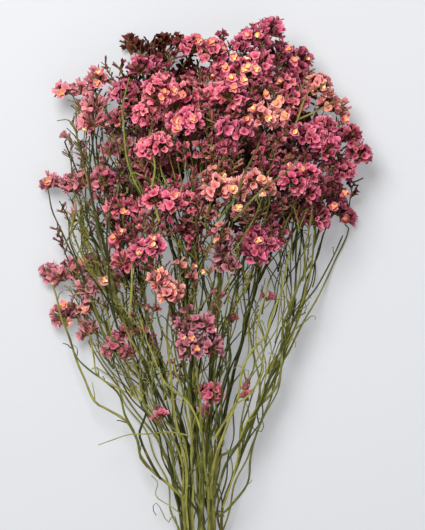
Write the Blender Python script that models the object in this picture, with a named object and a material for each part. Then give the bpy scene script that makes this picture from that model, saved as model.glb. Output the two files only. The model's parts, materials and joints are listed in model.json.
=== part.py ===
"""A dried statice bunch, cut and laid down: branching sprays that carry papery flower heads.

The bunch lies along Y on the surface z = 0. Its cut ends point to -Y and its flowers to +Y.
Places and sizes in the design lists are in millimetres, and the meshes are in metres.
"""

import math
import random
from dataclasses import dataclass

import bmesh
import bpy
import numpy as np
from mathutils import Matrix, Vector

MM = 0.001

# The shift that centres the finished bunch over the origin
ORIGIN_SHIFT = (-0.43, 18.088, 0.0)

# Stems: radii at the cut end and at the tip, the sides of the tubes, and how far a fork may reach
MAIN_RADIUS_LOW = 2.3
MAIN_RADIUS_HIGH = 1.3
TWIG_RADIUS_LOW = 1.15
TWIG_RADIUS_HIGH = 0.85
MAIN_SIDES = 6
TWIG_SIDES = 3
STEM_STEP = 20.0
TWIG_STEP = 24.0
FORK_REACH = (50.0, 170.0)
FORK_SHORTEST = 30.0
FORK_TURN_COST = 90.0

# Flower heads: they face away from the focus, and shares are of a lobe's radius
FOCUS = (0.0, -110.0, 15.0)
FACING_LIFT = 0.25
RIM_LOW = 0.86
BASE_SHARE = 0.94
LOW_CORNERS = -0.7
FACE_TO_CORNER = 0.7947
SEAT_SHARE = FACE_TO_CORNER * BASE_SHARE
CUP_LOW = 0.5
CUP_HIGH = 0.62
FULLNESS = 1.18
BACKING_REACH = 1.25
BACKING_SHARE = 0.85
DEEP_ENOUGH = 25.0
BACKED_LOBES = 2
LINK_RADIUS = 1.6

# Clearances, and the passes that open them
GAP = 0.4
STEM_GAP = 0.3
SEAT_RUN = 2.5
HEAD_SPACING = 2.8
FOOT_SHARE = 0.8
HEAD_PASSES = 300
STEM_PASSES = 420
FREE_PASSES = 120
DEPTH_EASE = 2.0

FINISHES = {
    "coral": ((0.80, 0.22, 0.24, 1.0), 0.85),
    "rose": ((0.72, 0.16, 0.30, 1.0), 0.85),
    "salmon": ((0.85, 0.36, 0.28, 1.0), 0.85),
    "mauve": ((0.50, 0.20, 0.32, 1.0), 0.85),
    "plum": ((0.20, 0.05, 0.10, 1.0), 0.9),
    "brown": ((0.26, 0.10, 0.08, 1.0), 0.9),
    "stem": ((0.24, 0.27, 0.13, 1.0), 0.8),
}


@dataclass(frozen=True)
class Lobe:
    """One rounded tuft of florets: its centre and its radius."""

    x: float
    y: float
    z: float
    radius: float


@dataclass(frozen=True)
class Spray:
    """One cut stem: the route of its main stem, its heads by tone, and its closed bud tips."""

    route: tuple
    heads: tuple
    buds: tuple = ()
    girth: float = 1.0


SPRAYS = {
    "left_low": Spray(
        route=((-18, -286, 2.4), (-9.3, -200, 2.4), (-17, -116, 7), (-23, -87, 10),
               (-33, -52, 14), (-54, -29, 17), (-70, -4, 18)),
        heads=(
            ("rose", (Lobe(-98, 71, 7, 8), Lobe(-114, 69, 6, 7))),
            ("mauve", (Lobe(-85, 56, 22, 8), Lobe(-82, 73, 26, 8), Lobe(-67, 61, 30, 7))),
            ("coral", (Lobe(-88, 43, 14, 6.5), Lobe(-87, 28, 14, 6.5), Lobe(-103, 40, 13, 9))),
            ("rose", (Lobe(-67, 15, 30, 7), Lobe(-59, 26, 33, 6.5), Lobe(-54, 12, 35, 5.5))),
        ),
        buds=(Lobe(-33, -32, 32, 4.5),),
    ),
    "left_mid": Spray(
        route=((-13, -278, 8), (-7, -200, 6.4), (-13, -116, 14), (-15, -80, 20), (-23, -44, 28),
               (-42, -1, 38),
               (-62, 43, 42), (-74, 78, 42)),
        heads=(
            ("rose", (Lobe(-95, 133, 20, 8), Lobe(-111, 136, 14, 7))),
            ("rose", (Lobe(-77, 136, 34, 9.5),)),
            ("coral", (Lobe(-60, 117, 58, 7), Lobe(-48, 118, 63, 6.5))),
            ("coral", (Lobe(-59, 77, 54, 8), Lobe(-61, 95, 54, 7))),
        ),
        buds=(Lobe(-95, 112, 36, 5), Lobe(-87, 94, 33, 5)),
    ),
    "left_top": Spray(
        route=((-8, -288, 2.4), (-4.7, -200, 2.4), (-10, -116, 6), (-11, -65, 11), (-26, -15, 20),
               (-45, 35, 27),
               (-60, 82, 30), (-69, 120, 30)),
        heads=(
            ("coral", (Lobe(-89, 202, 28, 7), Lobe(-103, 201, 20, 6.5), Lobe(-77, 209, 36, 7.5))),
            ("coral", (Lobe(-82, 179, 42, 9), Lobe(-81, 191, 38, 8), Lobe(-64, 180, 52, 7))),
            ("rose", (Lobe(-59, 203, 46, 8),)),
            ("mauve", (Lobe(-68, 161, 48, 6.5), Lobe(-57, 164, 54, 6.5))),
            ("rose", (Lobe(-46, 214, 38, 8.5),)),
        ),
        buds=(Lobe(-100, 168, 22, 5.5),),
    ),
    "back": Spray(
        girth=1.3,
        route=((1, -276, 2.4), (0, -200, 2.4), (-3, -116, 4), (-6, -58, 7), (-11, 14, 9),
               (-14, 79, 12), (-17, 115, 14)),
        heads=(
            ("brown", (Lobe(-42, 233, 12, 6), Lobe(-51, 237, 6, 6.5))),
            ("brown", (Lobe(-37, 221, 22, 7.5), Lobe(-31, 234, 20, 6.5), Lobe(-21, 234, 22, 6))),
            ("plum", (Lobe(-24, 214, 30, 8.5), Lobe(-11, 219, 28, 6.5))),
            ("plum", (Lobe(-46, 190, 18, 8.5),)),
            ("plum", (Lobe(11, 165, 42, 8), Lobe(5, 178, 38, 8.5))),
            ("plum", (Lobe(0, 149, 18, 9.5), Lobe(17, 142, 22, 8))),
            ("plum", (Lobe(-23, 145, 20, 9),)),
            ("plum", (Lobe(41, 156, 14, 9),)),
        ),
    ),
    "front": Spray(
        girth=1.5,
        route=((-3, -284, 8), (-2.3, -200, 6.4), (-2, -116, 19), (-2, -58, 28), (-4, -15, 40),
               (-9, 45, 56), (-14, 92, 62)),
        heads=(
            ("coral", (Lobe(-39, 179, 80, 8), Lobe(-28, 194, 86, 11))),
            ("coral", (Lobe(-5, 196, 78, 9.5),)),
            ("coral", (Lobe(-13, 178, 92, 8.5), Lobe(-23, 177, 90, 6.5))),
            ("coral", (Lobe(-31, 161, 90, 8), Lobe(-41, 157, 84, 6))),
            ("coral", (Lobe(-21, 120, 88, 8), Lobe(-34, 123, 86, 7.5), Lobe(-8, 121, 84, 7))),
            ("rose", (Lobe(-46, 85, 80, 7.5), Lobe(-35, 89, 82, 7))),
            ("salmon", (Lobe(-26, 55, 76, 6.5), Lobe(-32, 65, 78, 7))),
            ("mauve", (Lobe(-10, 17, 70, 9.5), Lobe(4, 17, 68, 8.5), Lobe(-13, 31, 68, 7),
                       Lobe(0, 33, 72, 8.5))),
            ("plum", (Lobe(-13, 101, 72, 7),)),
        ),
        buds=(Lobe(-22, 34, 54, 4),),
    ),
    "centre_top": Spray(
        girth=1.45,
        route=((5, -290, 8), (2.4, -200, 6.4), (3, -116, 12), (3, -58, 20), (5, -8, 30),
               (9, 50, 42), (14, 100, 50)),
        heads=(
            ("coral", (Lobe(15, 212, 52, 10), Lobe(7, 227, 56, 9.5), Lobe(-6, 231, 52, 8.5))),
            ("rose", (Lobe(36, 235, 48, 9.5), Lobe(47, 242, 44, 8.5), Lobe(26, 230, 52, 7))),
            ("coral", (Lobe(33, 208, 68, 10), Lobe(44, 217, 60, 8))),
            ("coral", (Lobe(13, 195, 84, 10),)),
            ("salmon", (Lobe(39, 179, 86, 9),)),
            ("rose", (Lobe(18, 160, 86, 6.5), Lobe(18, 174, 94, 6.5), Lobe(29, 172, 94, 6.5))),
            ("plum", (Lobe(30, 193, 54, 8),)),
            ("salmon", (Lobe(23, 129, 88, 7), Lobe(8, 128, 90, 9.5), Lobe(33, 135, 84, 7),
                        Lobe(42, 130, 80, 6))),
            ("rose", (Lobe(36, 84, 66, 8), Lobe(36, 95, 68, 7), Lobe(48, 89, 62, 6))),
            ("mauve", (Lobe(18, 76, 66, 6), Lobe(12, 86, 68, 7))),
            ("coral", (Lobe(6, -17, 46, 6.5),)),
        ),
        buds=(Lobe(0, -30, 48, 4), Lobe(9, 44, 58, 5)),
    ),
    "right_top": Spray(
        route=((9, -280, 2.4), (4.7, -200, 2.4), (6, -116, 5), (9, -71, 10), (17, -22, 16),
               (30, 28, 22), (42, 79, 28), (50, 118, 32)),
        heads=(
            ("rose", (Lobe(67, 215, 34, 9), Lobe(57, 226, 36, 9.5), Lobe(73, 225, 32, 7))),
            ("coral", (Lobe(62, 195, 54, 8), Lobe(52, 206, 56, 8.5), Lobe(50, 188, 62, 9))),
            ("salmon", (Lobe(85, 192, 30, 8), Lobe(77, 205, 36, 8))),
            ("plum", (Lobe(69, 182, 16, 9),)),
        ),
    ),
    "right_mid": Spray(
        route=((18, -287, 2.4), (9.3, -200, 2.4), (12, -116, 9), (15, -98, 11), (24, -71, 16),
               (38, -33, 21),
               (52, 7, 26), (60, 46, 28), (66, 70, 30)),
        heads=(
            ("rose", (Lobe(87, 159, 54, 9), Lobe(77, 167, 58, 8.5), Lobe(68, 169, 60, 7),
                      Lobe(87, 174, 52, 7))),
            ("rose", (Lobe(100, 143, 34, 8.5), Lobe(112, 156, 28, 8.5), Lobe(105, 169, 30, 8))),
            ("mauve", (Lobe(54, 154, 52, 10),)),
            ("rose", (Lobe(63, 136, 72, 10), Lobe(75, 140, 68, 6.5), Lobe(75, 127, 64, 6.5))),
            ("rose", (Lobe(98, 116, 8, 8), Lobe(93, 127, 12, 9), Lobe(106, 110, 5, 6))),
            ("rose", (Lobe(80, 109, 44, 9.5),)),
            ("mauve", (Lobe(48, 113, 40, 8.5),)),
        ),
        buds=(Lobe(31, -12, 40, 4.5),),
    ),
}


@dataclass
class Head:
    """A flower head in its settled place: the node's name, its tone, and its lobes."""

    name: str
    tone: str
    spray: str
    centres: np.ndarray
    radii: np.ndarray
    backing: int = -1

    @property
    def axis(self):
        """The way that the head faces, out from the low focus of the bunch and a little up."""
        way = self.centres[0] - np.array(FOCUS)
        way = way / np.linalg.norm(way) + np.array((0.0, 0.0, FACING_LIFT))
        return way / np.linalg.norm(way)


@dataclass
class Limb:
    """A main stem or a twig: its points, its radii, and the point of the stem that it forks from."""

    spray: str
    points: np.ndarray
    radii: np.ndarray
    sides: int
    parent: int = -1
    parent_point: int = 0
    head: int = -1
    bud: float = 0.0


def backing_tuft(head, rng):
    """Return the place and size of one more tuft, beside the head's first one and deeper in the bunch."""
    centre, radius = head.centres[0], head.radii[0]
    side = np.cross(head.axis, (0.0, 0.0, 1.0)) * rng.choice((-1.0, 1.0))
    depth = -1.0 if centre[2] > DEEP_ENOUGH else 1.0
    way = 0.7 * side + depth * np.array((0.0, 0.0, 0.7))
    return centre + way / np.linalg.norm(way) * radius * BACKING_REACH, radius * BACKING_SHARE


def read_heads():
    """Return every head of the design lists, each with its backing tuft and its lowest lobe first."""
    heads = []
    for spray_name, spray in SPRAYS.items():
        for number, (tone, lobes) in enumerate(spray.heads, start=1):
            centres = np.array([(lobe.x, lobe.y, lobe.z) for lobe in lobes], float)
            radii = FULLNESS * np.array([lobe.radius for lobe in lobes], float)
            head = Head(f"head_{spray_name}_{number}_{tone}", tone, spray_name, centres, radii)
            if len(lobes) <= BACKED_LOBES:
                centre, radius = backing_tuft(head, random.Random(head.name))
                head.centres = np.vstack([head.centres, centre])
                head.radii = np.append(head.radii, radius)
            order = np.argsort(head.centres @ head.axis)
            head.centres, head.radii = head.centres[order], head.radii[order]
            head.backing = int(np.argmax(order)) if len(lobes) <= BACKED_LOBES else -1
            heads.append(head)
    return heads


def settle_heads(heads):
    """Ease the heads apart, mostly in depth, until no lobe of one reaches a lobe of another."""
    centres = np.vstack([head.centres for head in heads])
    radii = np.concatenate([head.radii for head in heads])
    owner = np.concatenate([[index] * len(head.radii) for index, head in enumerate(heads)])
    apart = owner[:, None] != owner[None, :]
    need = radii[:, None] + radii[None, :] + HEAD_SPACING
    lobes_each = np.bincount(owner)
    for _ in range(HEAD_PASSES):
        offset = centres[:, None, :] - centres[None, :, :]
        distance = np.linalg.norm(offset, axis=2) + 1e-9
        push = np.where(apart, np.clip(need - distance, 0.0, None), 0.0)
        way = offset / distance[..., None]
        way[..., 2] *= DEPTH_EASE
        move = 0.3 * (way * push[..., None]).sum(axis=1)
        for axis in range(3):
            shared = np.bincount(owner, weights=move[:, axis]) / lobes_each
            centres[:, axis] += shared[owner]
        sunk = np.zeros(len(heads))
        np.maximum.at(sunk, owner, FOOT_SHARE * radii - centres[:, 2])
        centres[:, 2] += np.clip(sunk, 0.0, None)[owner]
    for index, head in enumerate(heads):
        head.centres = centres[owner == index]


def smooth_route(points, step):
    """Return points at about equal steps along a smooth curve through the given ones."""
    knots = np.array(points, float)
    ends = np.vstack([2 * knots[0] - knots[1], knots, 2 * knots[-1] - knots[-2]])
    fine = []
    for a, b, c, d in zip(ends[:-3], ends[1:-2], ends[2:-1], ends[3:]):
        for t in np.linspace(0.0, 1.0, 16, endpoint=False):
            fine.append(0.5 * (2 * b + (c - a) * t + (2 * a - 5 * b + 4 * c - d) * t**2
                               + (3 * b - a - 3 * c + d) * t**3))
    fine = np.array(fine + [knots[-1]])
    run = np.concatenate([[0.0], np.cumsum(np.linalg.norm(np.diff(fine, axis=0), axis=1))])
    count = max(2, round(run[-1] / step) + 1)
    marks = np.linspace(0.0, run[-1], count)
    return np.stack([np.interp(marks, run, fine[:, axis]) for axis in range(3)], axis=1)


def grow_twig(limbs, members, target, axis, wanted):
    """Return a fork's route: it leaves a lower stem, curves out and meets its seat along the head's axis."""
    best = None
    for index in members:
        free_points = limbs[index].points[:-2] if limbs[index].parent >= 0 else limbs[index].points
        for number, point in enumerate(free_points):
            way = target - point
            reach = np.linalg.norm(way)
            if number == 0 or reach < FORK_SHORTEST:
                continue
            cost = abs(reach - wanted) + FORK_TURN_COST * (1.0 - (way / reach) @ axis)
            if best is None or cost < best[0]:
                best = (cost, index, number)
    _, parent, number = best
    stem = limbs[parent].points
    seat = target
    target = seat - axis * SEAT_RUN
    start = stem[number]
    along = start - stem[number - 1]
    along = along / np.linalg.norm(along)
    reach = np.linalg.norm(target - start)
    handle = reach / 3.0
    corners = (start, start + along * handle, target - axis * handle, target)
    count = max(4, round(reach / TWIG_STEP) + 1)
    marks = np.linspace(0.0, 1.0, count)[:, None]
    curve = ((1 - marks) ** 3 * corners[0] + 3 * (1 - marks) ** 2 * marks * corners[1]
             + 3 * (1 - marks) * marks**2 * corners[2] + marks**3 * corners[3])
    return np.vstack([curve, seat]), parent, number


def grow_limbs(heads):
    """Return every spray's main stem and its twigs, lowest head first, so that twigs fork from twigs."""
    limbs = []
    for name, spray in SPRAYS.items():
        rng = random.Random(name)
        members = [len(limbs)]
        route = smooth_route(spray.route, STEM_STEP)
        radii = spray.girth * np.linspace(MAIN_RADIUS_LOW, MAIN_RADIUS_HIGH, len(route))
        limbs.append(Limb(name, route, radii, MAIN_SIDES))
        ends = []
        for index, head in enumerate(heads):
            if head.spray == name:
                tip = head.centres[0] - head.axis * (SEAT_SHARE * head.radii[0] + GAP)
                ends.append((tip, head.axis, index, 0.0))
        for bud in spray.buds:
            tip = np.array((bud.x, bud.y, bud.z), float)
            way = tip - np.array(FOCUS)
            ends.append((tip, way / np.linalg.norm(way), -1, bud.radius))
        for tip, axis, head, bud in sorted(ends, key=lambda end: end[0][1]):
            curve, parent, number = grow_twig(limbs, members, tip, axis, rng.uniform(*FORK_REACH))
            radii = np.linspace(TWIG_RADIUS_LOW, TWIG_RADIUS_HIGH, len(curve))
            members.append(len(limbs))
            limbs.append(Limb(name, curve, radii, TWIG_SIDES, parent, number, head, bud))
        main = limbs[members[0]]
        highest = max(limb.parent_point for limb in limbs[members[0]:] if limb.parent == members[0])
        main.points, main.radii = main.points[:highest + 1], main.radii[:highest + 1]
    return limbs


def closest_shares(a, b, c, d):
    """Return how far along segments a-b and c-d their closest points lie, from 0 to 1."""
    u, v, w = b - a, d - c, a - c
    uu, uv, vv = (u * u).sum(1), (u * v).sum(1), (v * v).sum(1)
    uw, vw = (u * w).sum(1), (v * w).sum(1)
    spread = uu * vv - uv * uv
    s = np.where(spread > 1e-9, np.clip((uv * vw - vv * uw) / np.maximum(spread, 1e-9), 0, 1), 0.5)
    t = np.clip((uv * s + vw) / np.maximum(vv, 1e-9), 0, 1)
    s = np.clip((uv * t - uw) / np.maximum(uu, 1e-9), 0, 1)
    return s, t


class StemField:
    """All stem points of the bunch in one array, with the rules that hold them apart."""

    def __init__(self, limbs, heads):
        """Gather the limbs' points and the heads' lobes.

        Args:
            limbs: every main stem and twig.
            heads: the settled heads.
        """
        self.limbs = limbs
        self.points = np.vstack([limb.points for limb in limbs])
        self.design = self.points.copy()
        self.start = np.cumsum([0] + [len(limb.points) for limb in limbs])
        sprays = list(SPRAYS)
        first, limb_of = [], []
        for index, limb in enumerate(limbs):
            first += range(self.start[index], self.start[index + 1] - 1)
            limb_of += [index] * (len(limb.points) - 1)
        self.first = np.array(first)
        self.limb_of = np.array(limb_of)
        self.spray_of = np.array([sprays.index(limbs[index].spray) for index in limb_of])
        radii = np.concatenate([limb.radii for limb in limbs])
        self.radii = radii
        self.thick = np.maximum(radii[self.first], radii[self.first + 1])
        last = self.start[1:] - 2
        for index, limb in enumerate(limbs):
            if limb.bud:
                self.thick[self.first == last[index]] = limb.bud * 0.6
        self.fixed = np.zeros(len(self.points), bool)
        for index, limb in enumerate(limbs):
            self.fixed[self.start[index]] = True
            self.fixed[self.start[index + 1] - 2:self.start[index + 1]] = limb.head >= 0
        spans = list(zip(self.start[:-1], self.start[1:]))
        self.inner = np.array([row for first, end in spans for row in range(first + 1, end - 1)])
        self.lobes = np.vstack([head.centres for head in heads])
        self.lobe_radii = np.concatenate([head.radii for head in heads])
        self.lobe_owner = np.concatenate([[index] * len(head.radii) for index, head in enumerate(heads)])
        target = np.array([limbs[index].head for index in limb_of])
        seat_lobe = np.concatenate([[True] + [False] * (len(head.radii) - 1) for head in heads])
        last_run = np.isin(self.first, last)
        own = target[:, None] == self.lobe_owner[None, :]
        self.blocked = ~own | (~seat_lobe[None, :] & ~last_run[:, None])
        rows, columns = np.triu_indices(len(self.first), 1)
        foreign = self.spray_of[rows] != self.spray_of[columns]
        self.rows, self.columns = rows[foreign], columns[foreign]

    def spread_move(self, move, count, segments, share, push):
        """Share out a segment's push between its two end points."""
        lever = (1.0 - share) ** 2 + share**2
        for offset, weight in ((0, (1.0 - share) / lever), (1, share / lever)):
            np.add.at(move, self.first[segments] + offset, push * weight[:, None])
            np.add.at(count, self.first[segments] + offset, weight)

    def step(self, smoothing):
        """Move every free point one step away from what it meets, and return the worst overlap."""
        points = self.points
        move = np.zeros_like(points)
        count = np.zeros(len(points))
        a, b = points[self.first], points[self.first + 1]
        middle, half = (a + b) / 2, np.linalg.norm(b - a, axis=1) / 2
        reach = half + self.thick + GAP
        near = np.linalg.norm(middle[self.rows] - middle[self.columns], axis=1)
        near = near < reach[self.rows] + reach[self.columns]
        i, j = self.rows[near], self.columns[near]
        s, t = closest_shares(a[i], b[i], a[j], b[j])
        offset = (a[i] + (b[i] - a[i]) * s[:, None]) - (a[j] + (b[j] - a[j]) * t[:, None])
        distance = np.linalg.norm(offset, axis=1) + 1e-9
        lack = self.thick[i] + self.thick[j] + STEM_GAP - distance
        hit = lack > 0
        push = offset[hit] / distance[hit, None] * lack[hit, None] * 0.5
        self.spread_move(move, count, i[hit], s[hit], push)
        self.spread_move(move, count, j[hit], t[hit], -push)
        worst = lack.max(initial=0.0)
        along = b - a
        share = ((self.lobes[None] - a[:, None]) * along[:, None]).sum(2) / (along**2).sum(1)[:, None]
        share = np.clip(share, 0, 1)
        offset = a[:, None] + along[:, None] * share[..., None] - self.lobes[None]
        distance = np.linalg.norm(offset, axis=2) + 1e-9
        lack = np.where(self.blocked, self.thick[:, None] + self.lobe_radii[None] + GAP - distance, 0.0)
        i, j = np.nonzero(lack > 0)
        push = offset[i, j] / distance[i, j, None] * lack[i, j, None]
        self.spread_move(move, count, i, share[i, j], push)
        worst = max(worst, lack.max(initial=0.0))
        move /= np.maximum(count, 1.0)[:, None]
        bend = points - self.design
        move[self.inner] += smoothing * ((bend[self.inner - 1] + bend[self.inner + 1]) / 2 - bend[self.inner])
        move[self.fixed] = 0.0
        points += move
        points[:, 2] = np.maximum(points[:, 2], self.radii)
        for index, limb in enumerate(self.limbs):
            if limb.parent >= 0:
                points[self.start[index]] = points[self.start[limb.parent] + limb.parent_point]
        return worst

    def settle(self):
        """Run the passes, first with smoothing and then without, and hand the points back."""
        worst = 0.0
        for number in range(STEM_PASSES):
            worst = self.step(0.25 if number < STEM_PASSES - FREE_PASSES else 0.0)
        for index, limb in enumerate(self.limbs):
            limb.points = self.points[self.start[index]:self.start[index + 1]]
        return worst


def finish_material(name):
    """Return the material of one tone, made once."""
    material = bpy.data.materials.get(name) or bpy.data.materials.new(name)
    colour, roughness = FINISHES[name]
    material.use_nodes = True
    shader = material.node_tree.nodes["Principled BSDF"]
    shader.inputs["Base Color"].default_value = colour
    shader.inputs["Roughness"].default_value = roughness
    shader.inputs["Metallic"].default_value = 0.0
    return material


def mesh_body(name, vertices, faces):
    """Return a linked object from vertices in millimetres."""
    mesh = bpy.data.meshes.new(name)
    mesh.from_pydata([tuple(np.array(vertex) * MM) for vertex in vertices], [], faces)
    body = bpy.data.objects.new(name, mesh)
    bpy.context.scene.collection.objects.link(body)
    return body


def side_ways(way):
    """Return two unit directions square to the given one and to each other."""
    lean = np.array((0.0, 0.0, 1.0)) if abs(way[2]) < 0.9 else np.array((1.0, 0.0, 0.0))
    first = np.cross(way, lean)
    first = first / np.linalg.norm(first)
    return first, np.cross(way, first)


def tube(name, points, radii, sides):
    """Return a closed tube along the points, with flat ends."""
    ways = np.gradient(points, axis=0)
    vertices, faces = [], []
    first = None
    for point, way, radius in zip(points, ways, radii):
        way = way / np.linalg.norm(way)
        first = side_ways(way)[0] if first is None else first - (first @ way) * way
        first = first / np.linalg.norm(first)
        second = np.cross(way, first)
        for number in range(sides):
            angle = 2 * math.pi * number / sides
            vertices.append(point + radius * (math.cos(angle) * first + math.sin(angle) * second))
    for ring in range(len(points) - 1):
        low = ring * sides
        for number in range(sides):
            after = (number + 1) % sides
            faces.append((low + number, low + after, low + sides + after, low + sides + number))
    faces.append(tuple(reversed(range(sides))))
    faces.append(tuple(range(len(vertices) - sides, len(vertices))))
    return mesh_body(name, vertices, faces)


def cup_cluster(name, centre, axis, radius, rng):
    """Return one lobe: five-cornered cups rim to rim, and a flat base where the twig meets it."""
    ball = bmesh.new()
    bmesh.ops.create_icosphere(ball, subdivisions=1, radius=1.0)
    turn = Vector(axis).to_track_quat("Z", "Y").to_matrix()
    ball.faces.ensure_lookup_table()
    corners = [np.array(turn @ face.calc_center_median().normalized()) for face in ball.faces]
    levels = [BASE_SHARE if corner @ axis < LOW_CORNERS else rng.uniform(RIM_LOW, 1.0) for corner in corners]
    vertices = [centre + radius * level * corner for corner, level in zip(corners, levels)]
    faces = []
    for point in ball.verts:
        way = np.array(turn @ point.co.normalized())
        first, second = side_ways(way)
        ring = [face.index for face in point.link_faces]
        ring.sort(key=lambda index: math.atan2(corners[index] @ second, corners[index] @ first))
        if way @ axis < -0.9:
            faces.append(tuple(ring))
            continue
        vertices.append(centre + way * radius * rng.uniform(CUP_LOW, CUP_HIGH))
        for here, after in zip(ring, ring[1:] + ring[:1]):
            faces.append((len(vertices) - 1, here, after))
    ball.free()
    return mesh_body(name, vertices, faces)


def plain_tuft(name, centre, axis, radius, rng):
    """Return the plain twenty-sided tuft that backs a head where other tufts hide it."""
    ball = bmesh.new()
    bmesh.ops.create_icosphere(ball, subdivisions=1, radius=1.0)
    turn = Vector(axis).to_track_quat("Z", "Y").to_matrix()
    ways = [np.array(turn @ point.co) for point in ball.verts]
    vertices = [centre + radius * rng.uniform(RIM_LOW, 1.0) * way for way in ways]
    faces = [tuple(point.index for point in face.verts) for face in ball.faces]
    ball.free()
    return mesh_body(name, vertices, faces)


def keep_largest(mesh):
    """Keep a mesh's largest body, without scraps and sealed hollows, and say whether it is closed."""
    shape = bmesh.new()
    shape.from_mesh(mesh)
    left = set(shape.verts)
    islands = []
    while left:
        queue, island = [left.pop()], set()
        while queue:
            vertex = queue.pop()
            island.add(vertex)
            beside = {edge.other_vert(vertex) for edge in vertex.link_edges} & left
            left -= beside
            queue += beside
        islands.append(island)
    largest = max(islands, key=len)
    bmesh.ops.delete(shape, geom=[vertex for vertex in shape.verts if vertex not in largest], context="VERTS")
    closed = all(edge.is_manifold for edge in shape.edges)
    shape.to_mesh(mesh)
    shape.free()
    return closed


def fuse(name, bodies, material):
    """Join overlapping bodies into one closed body with one union, and remove the bodies."""
    scene = bpy.context.scene.collection
    rest = bpy.data.collections.new(name + "_rest")
    scene.children.link(rest)
    for body in bodies[1:]:
        scene.objects.unlink(body)
        rest.objects.link(body)
    base = bodies[0]
    base.name = name
    if len(bodies) > 1:
        union = base.modifiers.new("union", "BOOLEAN")
        union.operation = "UNION"
        union.operand_type = "COLLECTION"
        union.collection = rest
        for solver in ("EXACT", "MANIFOLD"):
            union.solver = solver
            view = bpy.context.evaluated_depsgraph_get()
            mesh = bpy.data.meshes.new_from_object(base.evaluated_get(view))
            if keep_largest(mesh):
                break
        base.modifiers.clear()
        base.data = mesh
    for body in list(rest.objects):
        bpy.data.objects.remove(body)
    bpy.data.collections.remove(rest)
    base.data.materials.clear()
    base.data.materials.append(material)
    return base


def trim_floor(body):
    """Cut the body flat where it would reach below the surface that the bunch lies on."""
    shape = bmesh.new()
    shape.from_mesh(body.data)
    if min(vertex.co.z for vertex in shape.verts) < 0.0:
        geometry = shape.verts[:] + shape.edges[:] + shape.faces[:]
        bmesh.ops.bisect_plane(shape, geom=geometry, dist=1e-7, plane_co=(0, 0, 0), plane_no=(0, 0, 1),
                               clear_inner=True)
        bmesh.ops.holes_fill(shape, edges=[edge for edge in shape.edges if edge.is_boundary], sides=0)
        bmesh.ops.recalc_face_normals(shape, faces=shape.faces[:])
    shape.to_mesh(body.data)
    shape.free()


def build_head(head):
    """Make one flower head: its lobes of cups, and the links between lobes that stand apart."""
    rng = random.Random(head.name)
    bodies = []
    for number, (centre, radius) in enumerate(zip(head.centres, head.radii)):
        make = plain_tuft if number == head.backing and number else cup_cluster
        bodies.append(make(f"lobe_{number}", centre, head.axis, radius, rng))
        if number:
            nearest = min(range(number), key=lambda other: np.linalg.norm(head.centres[other] - centre))
            ends = np.array((head.centres[nearest], centre))
            bodies.append(tube(f"link_{number}", ends, (LINK_RADIUS, LINK_RADIUS), TWIG_SIDES))
    body = fuse(head.name, bodies, finish_material(head.tone))
    trim_floor(body)
    return body


def build_stems(name, limbs):
    """Make one spray's stems: its main stem, its twigs, and its closed bud tips, all fused."""
    bodies = []
    for number, limb in enumerate(limbs):
        bodies.append(tube(f"limb_{number}", limb.points, limb.radii, limb.sides))
        if limb.bud:
            way = limb.points[-1] - limb.points[-2]
            way = way / np.linalg.norm(way)
            ends = np.array([limb.points[-1] + way * limb.bud * share for share in (-1.0, -0.2, 0.9)])
            girth = (0.3 * limb.bud, 0.55 * limb.bud, 0.2 * limb.bud)
            bodies.append(tube(f"bud_{number}", ends, girth, MAIN_SIDES))
    return fuse("stems_" + name, bodies, finish_material("stem"))


def main():
    """Clear the scene and build the bunch."""
    for existing in list(bpy.data.objects):
        bpy.data.objects.remove(existing)
    heads = read_heads()
    settle_heads(heads)
    limbs = grow_limbs(heads)
    print("worst overlap of a stem, mm:", round(StemField(limbs, heads).settle(), 3))
    made = [build_head(head) for head in heads]
    made += [build_stems(name, [limb for limb in limbs if limb.spray == name]) for name in SPRAYS]
    for body in made:
        body.data.transform(Matrix.Translation(Vector(ORIGIN_SHIFT) * MM))
    print("nodes", len(made), "triangles", sum(
        len(polygon.vertices) - 2 for body in made for polygon in body.data.polygons))


main()
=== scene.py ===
"""A dried statice bunch, dressed for a picture: papery florets, winged stems and wiry twigs.

The bunch lies along Y on a pale surface and the camera looks down on it. The design lists give
places and sizes in millimetres, and the meshes are in metres.
"""

import json
import logging
import math
import random
from dataclasses import dataclass, field
from enum import Enum

import bpy
import numpy as np
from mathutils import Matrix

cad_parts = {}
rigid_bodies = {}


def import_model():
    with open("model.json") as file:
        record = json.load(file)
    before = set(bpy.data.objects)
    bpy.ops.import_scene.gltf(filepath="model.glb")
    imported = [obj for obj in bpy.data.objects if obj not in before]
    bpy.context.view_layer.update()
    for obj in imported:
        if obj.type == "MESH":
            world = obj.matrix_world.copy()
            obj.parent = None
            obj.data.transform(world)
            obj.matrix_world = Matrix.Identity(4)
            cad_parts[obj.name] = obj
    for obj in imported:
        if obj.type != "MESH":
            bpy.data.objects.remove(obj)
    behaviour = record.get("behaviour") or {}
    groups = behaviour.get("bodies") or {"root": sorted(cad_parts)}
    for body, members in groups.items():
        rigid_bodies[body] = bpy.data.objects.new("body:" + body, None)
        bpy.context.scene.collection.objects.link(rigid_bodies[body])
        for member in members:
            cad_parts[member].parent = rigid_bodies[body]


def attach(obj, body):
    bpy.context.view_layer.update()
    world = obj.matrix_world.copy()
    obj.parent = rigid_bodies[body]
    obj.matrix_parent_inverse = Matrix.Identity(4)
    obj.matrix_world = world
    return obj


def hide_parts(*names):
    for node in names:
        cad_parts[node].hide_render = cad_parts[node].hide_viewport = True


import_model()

LOG = logging.getLogger("statice")
MM = 0.001

# The shift that centres the finished bunch over the origin, in millimetres
ORIGIN_SHIFT = (-0.43, 18.088, 0.0)

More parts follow.
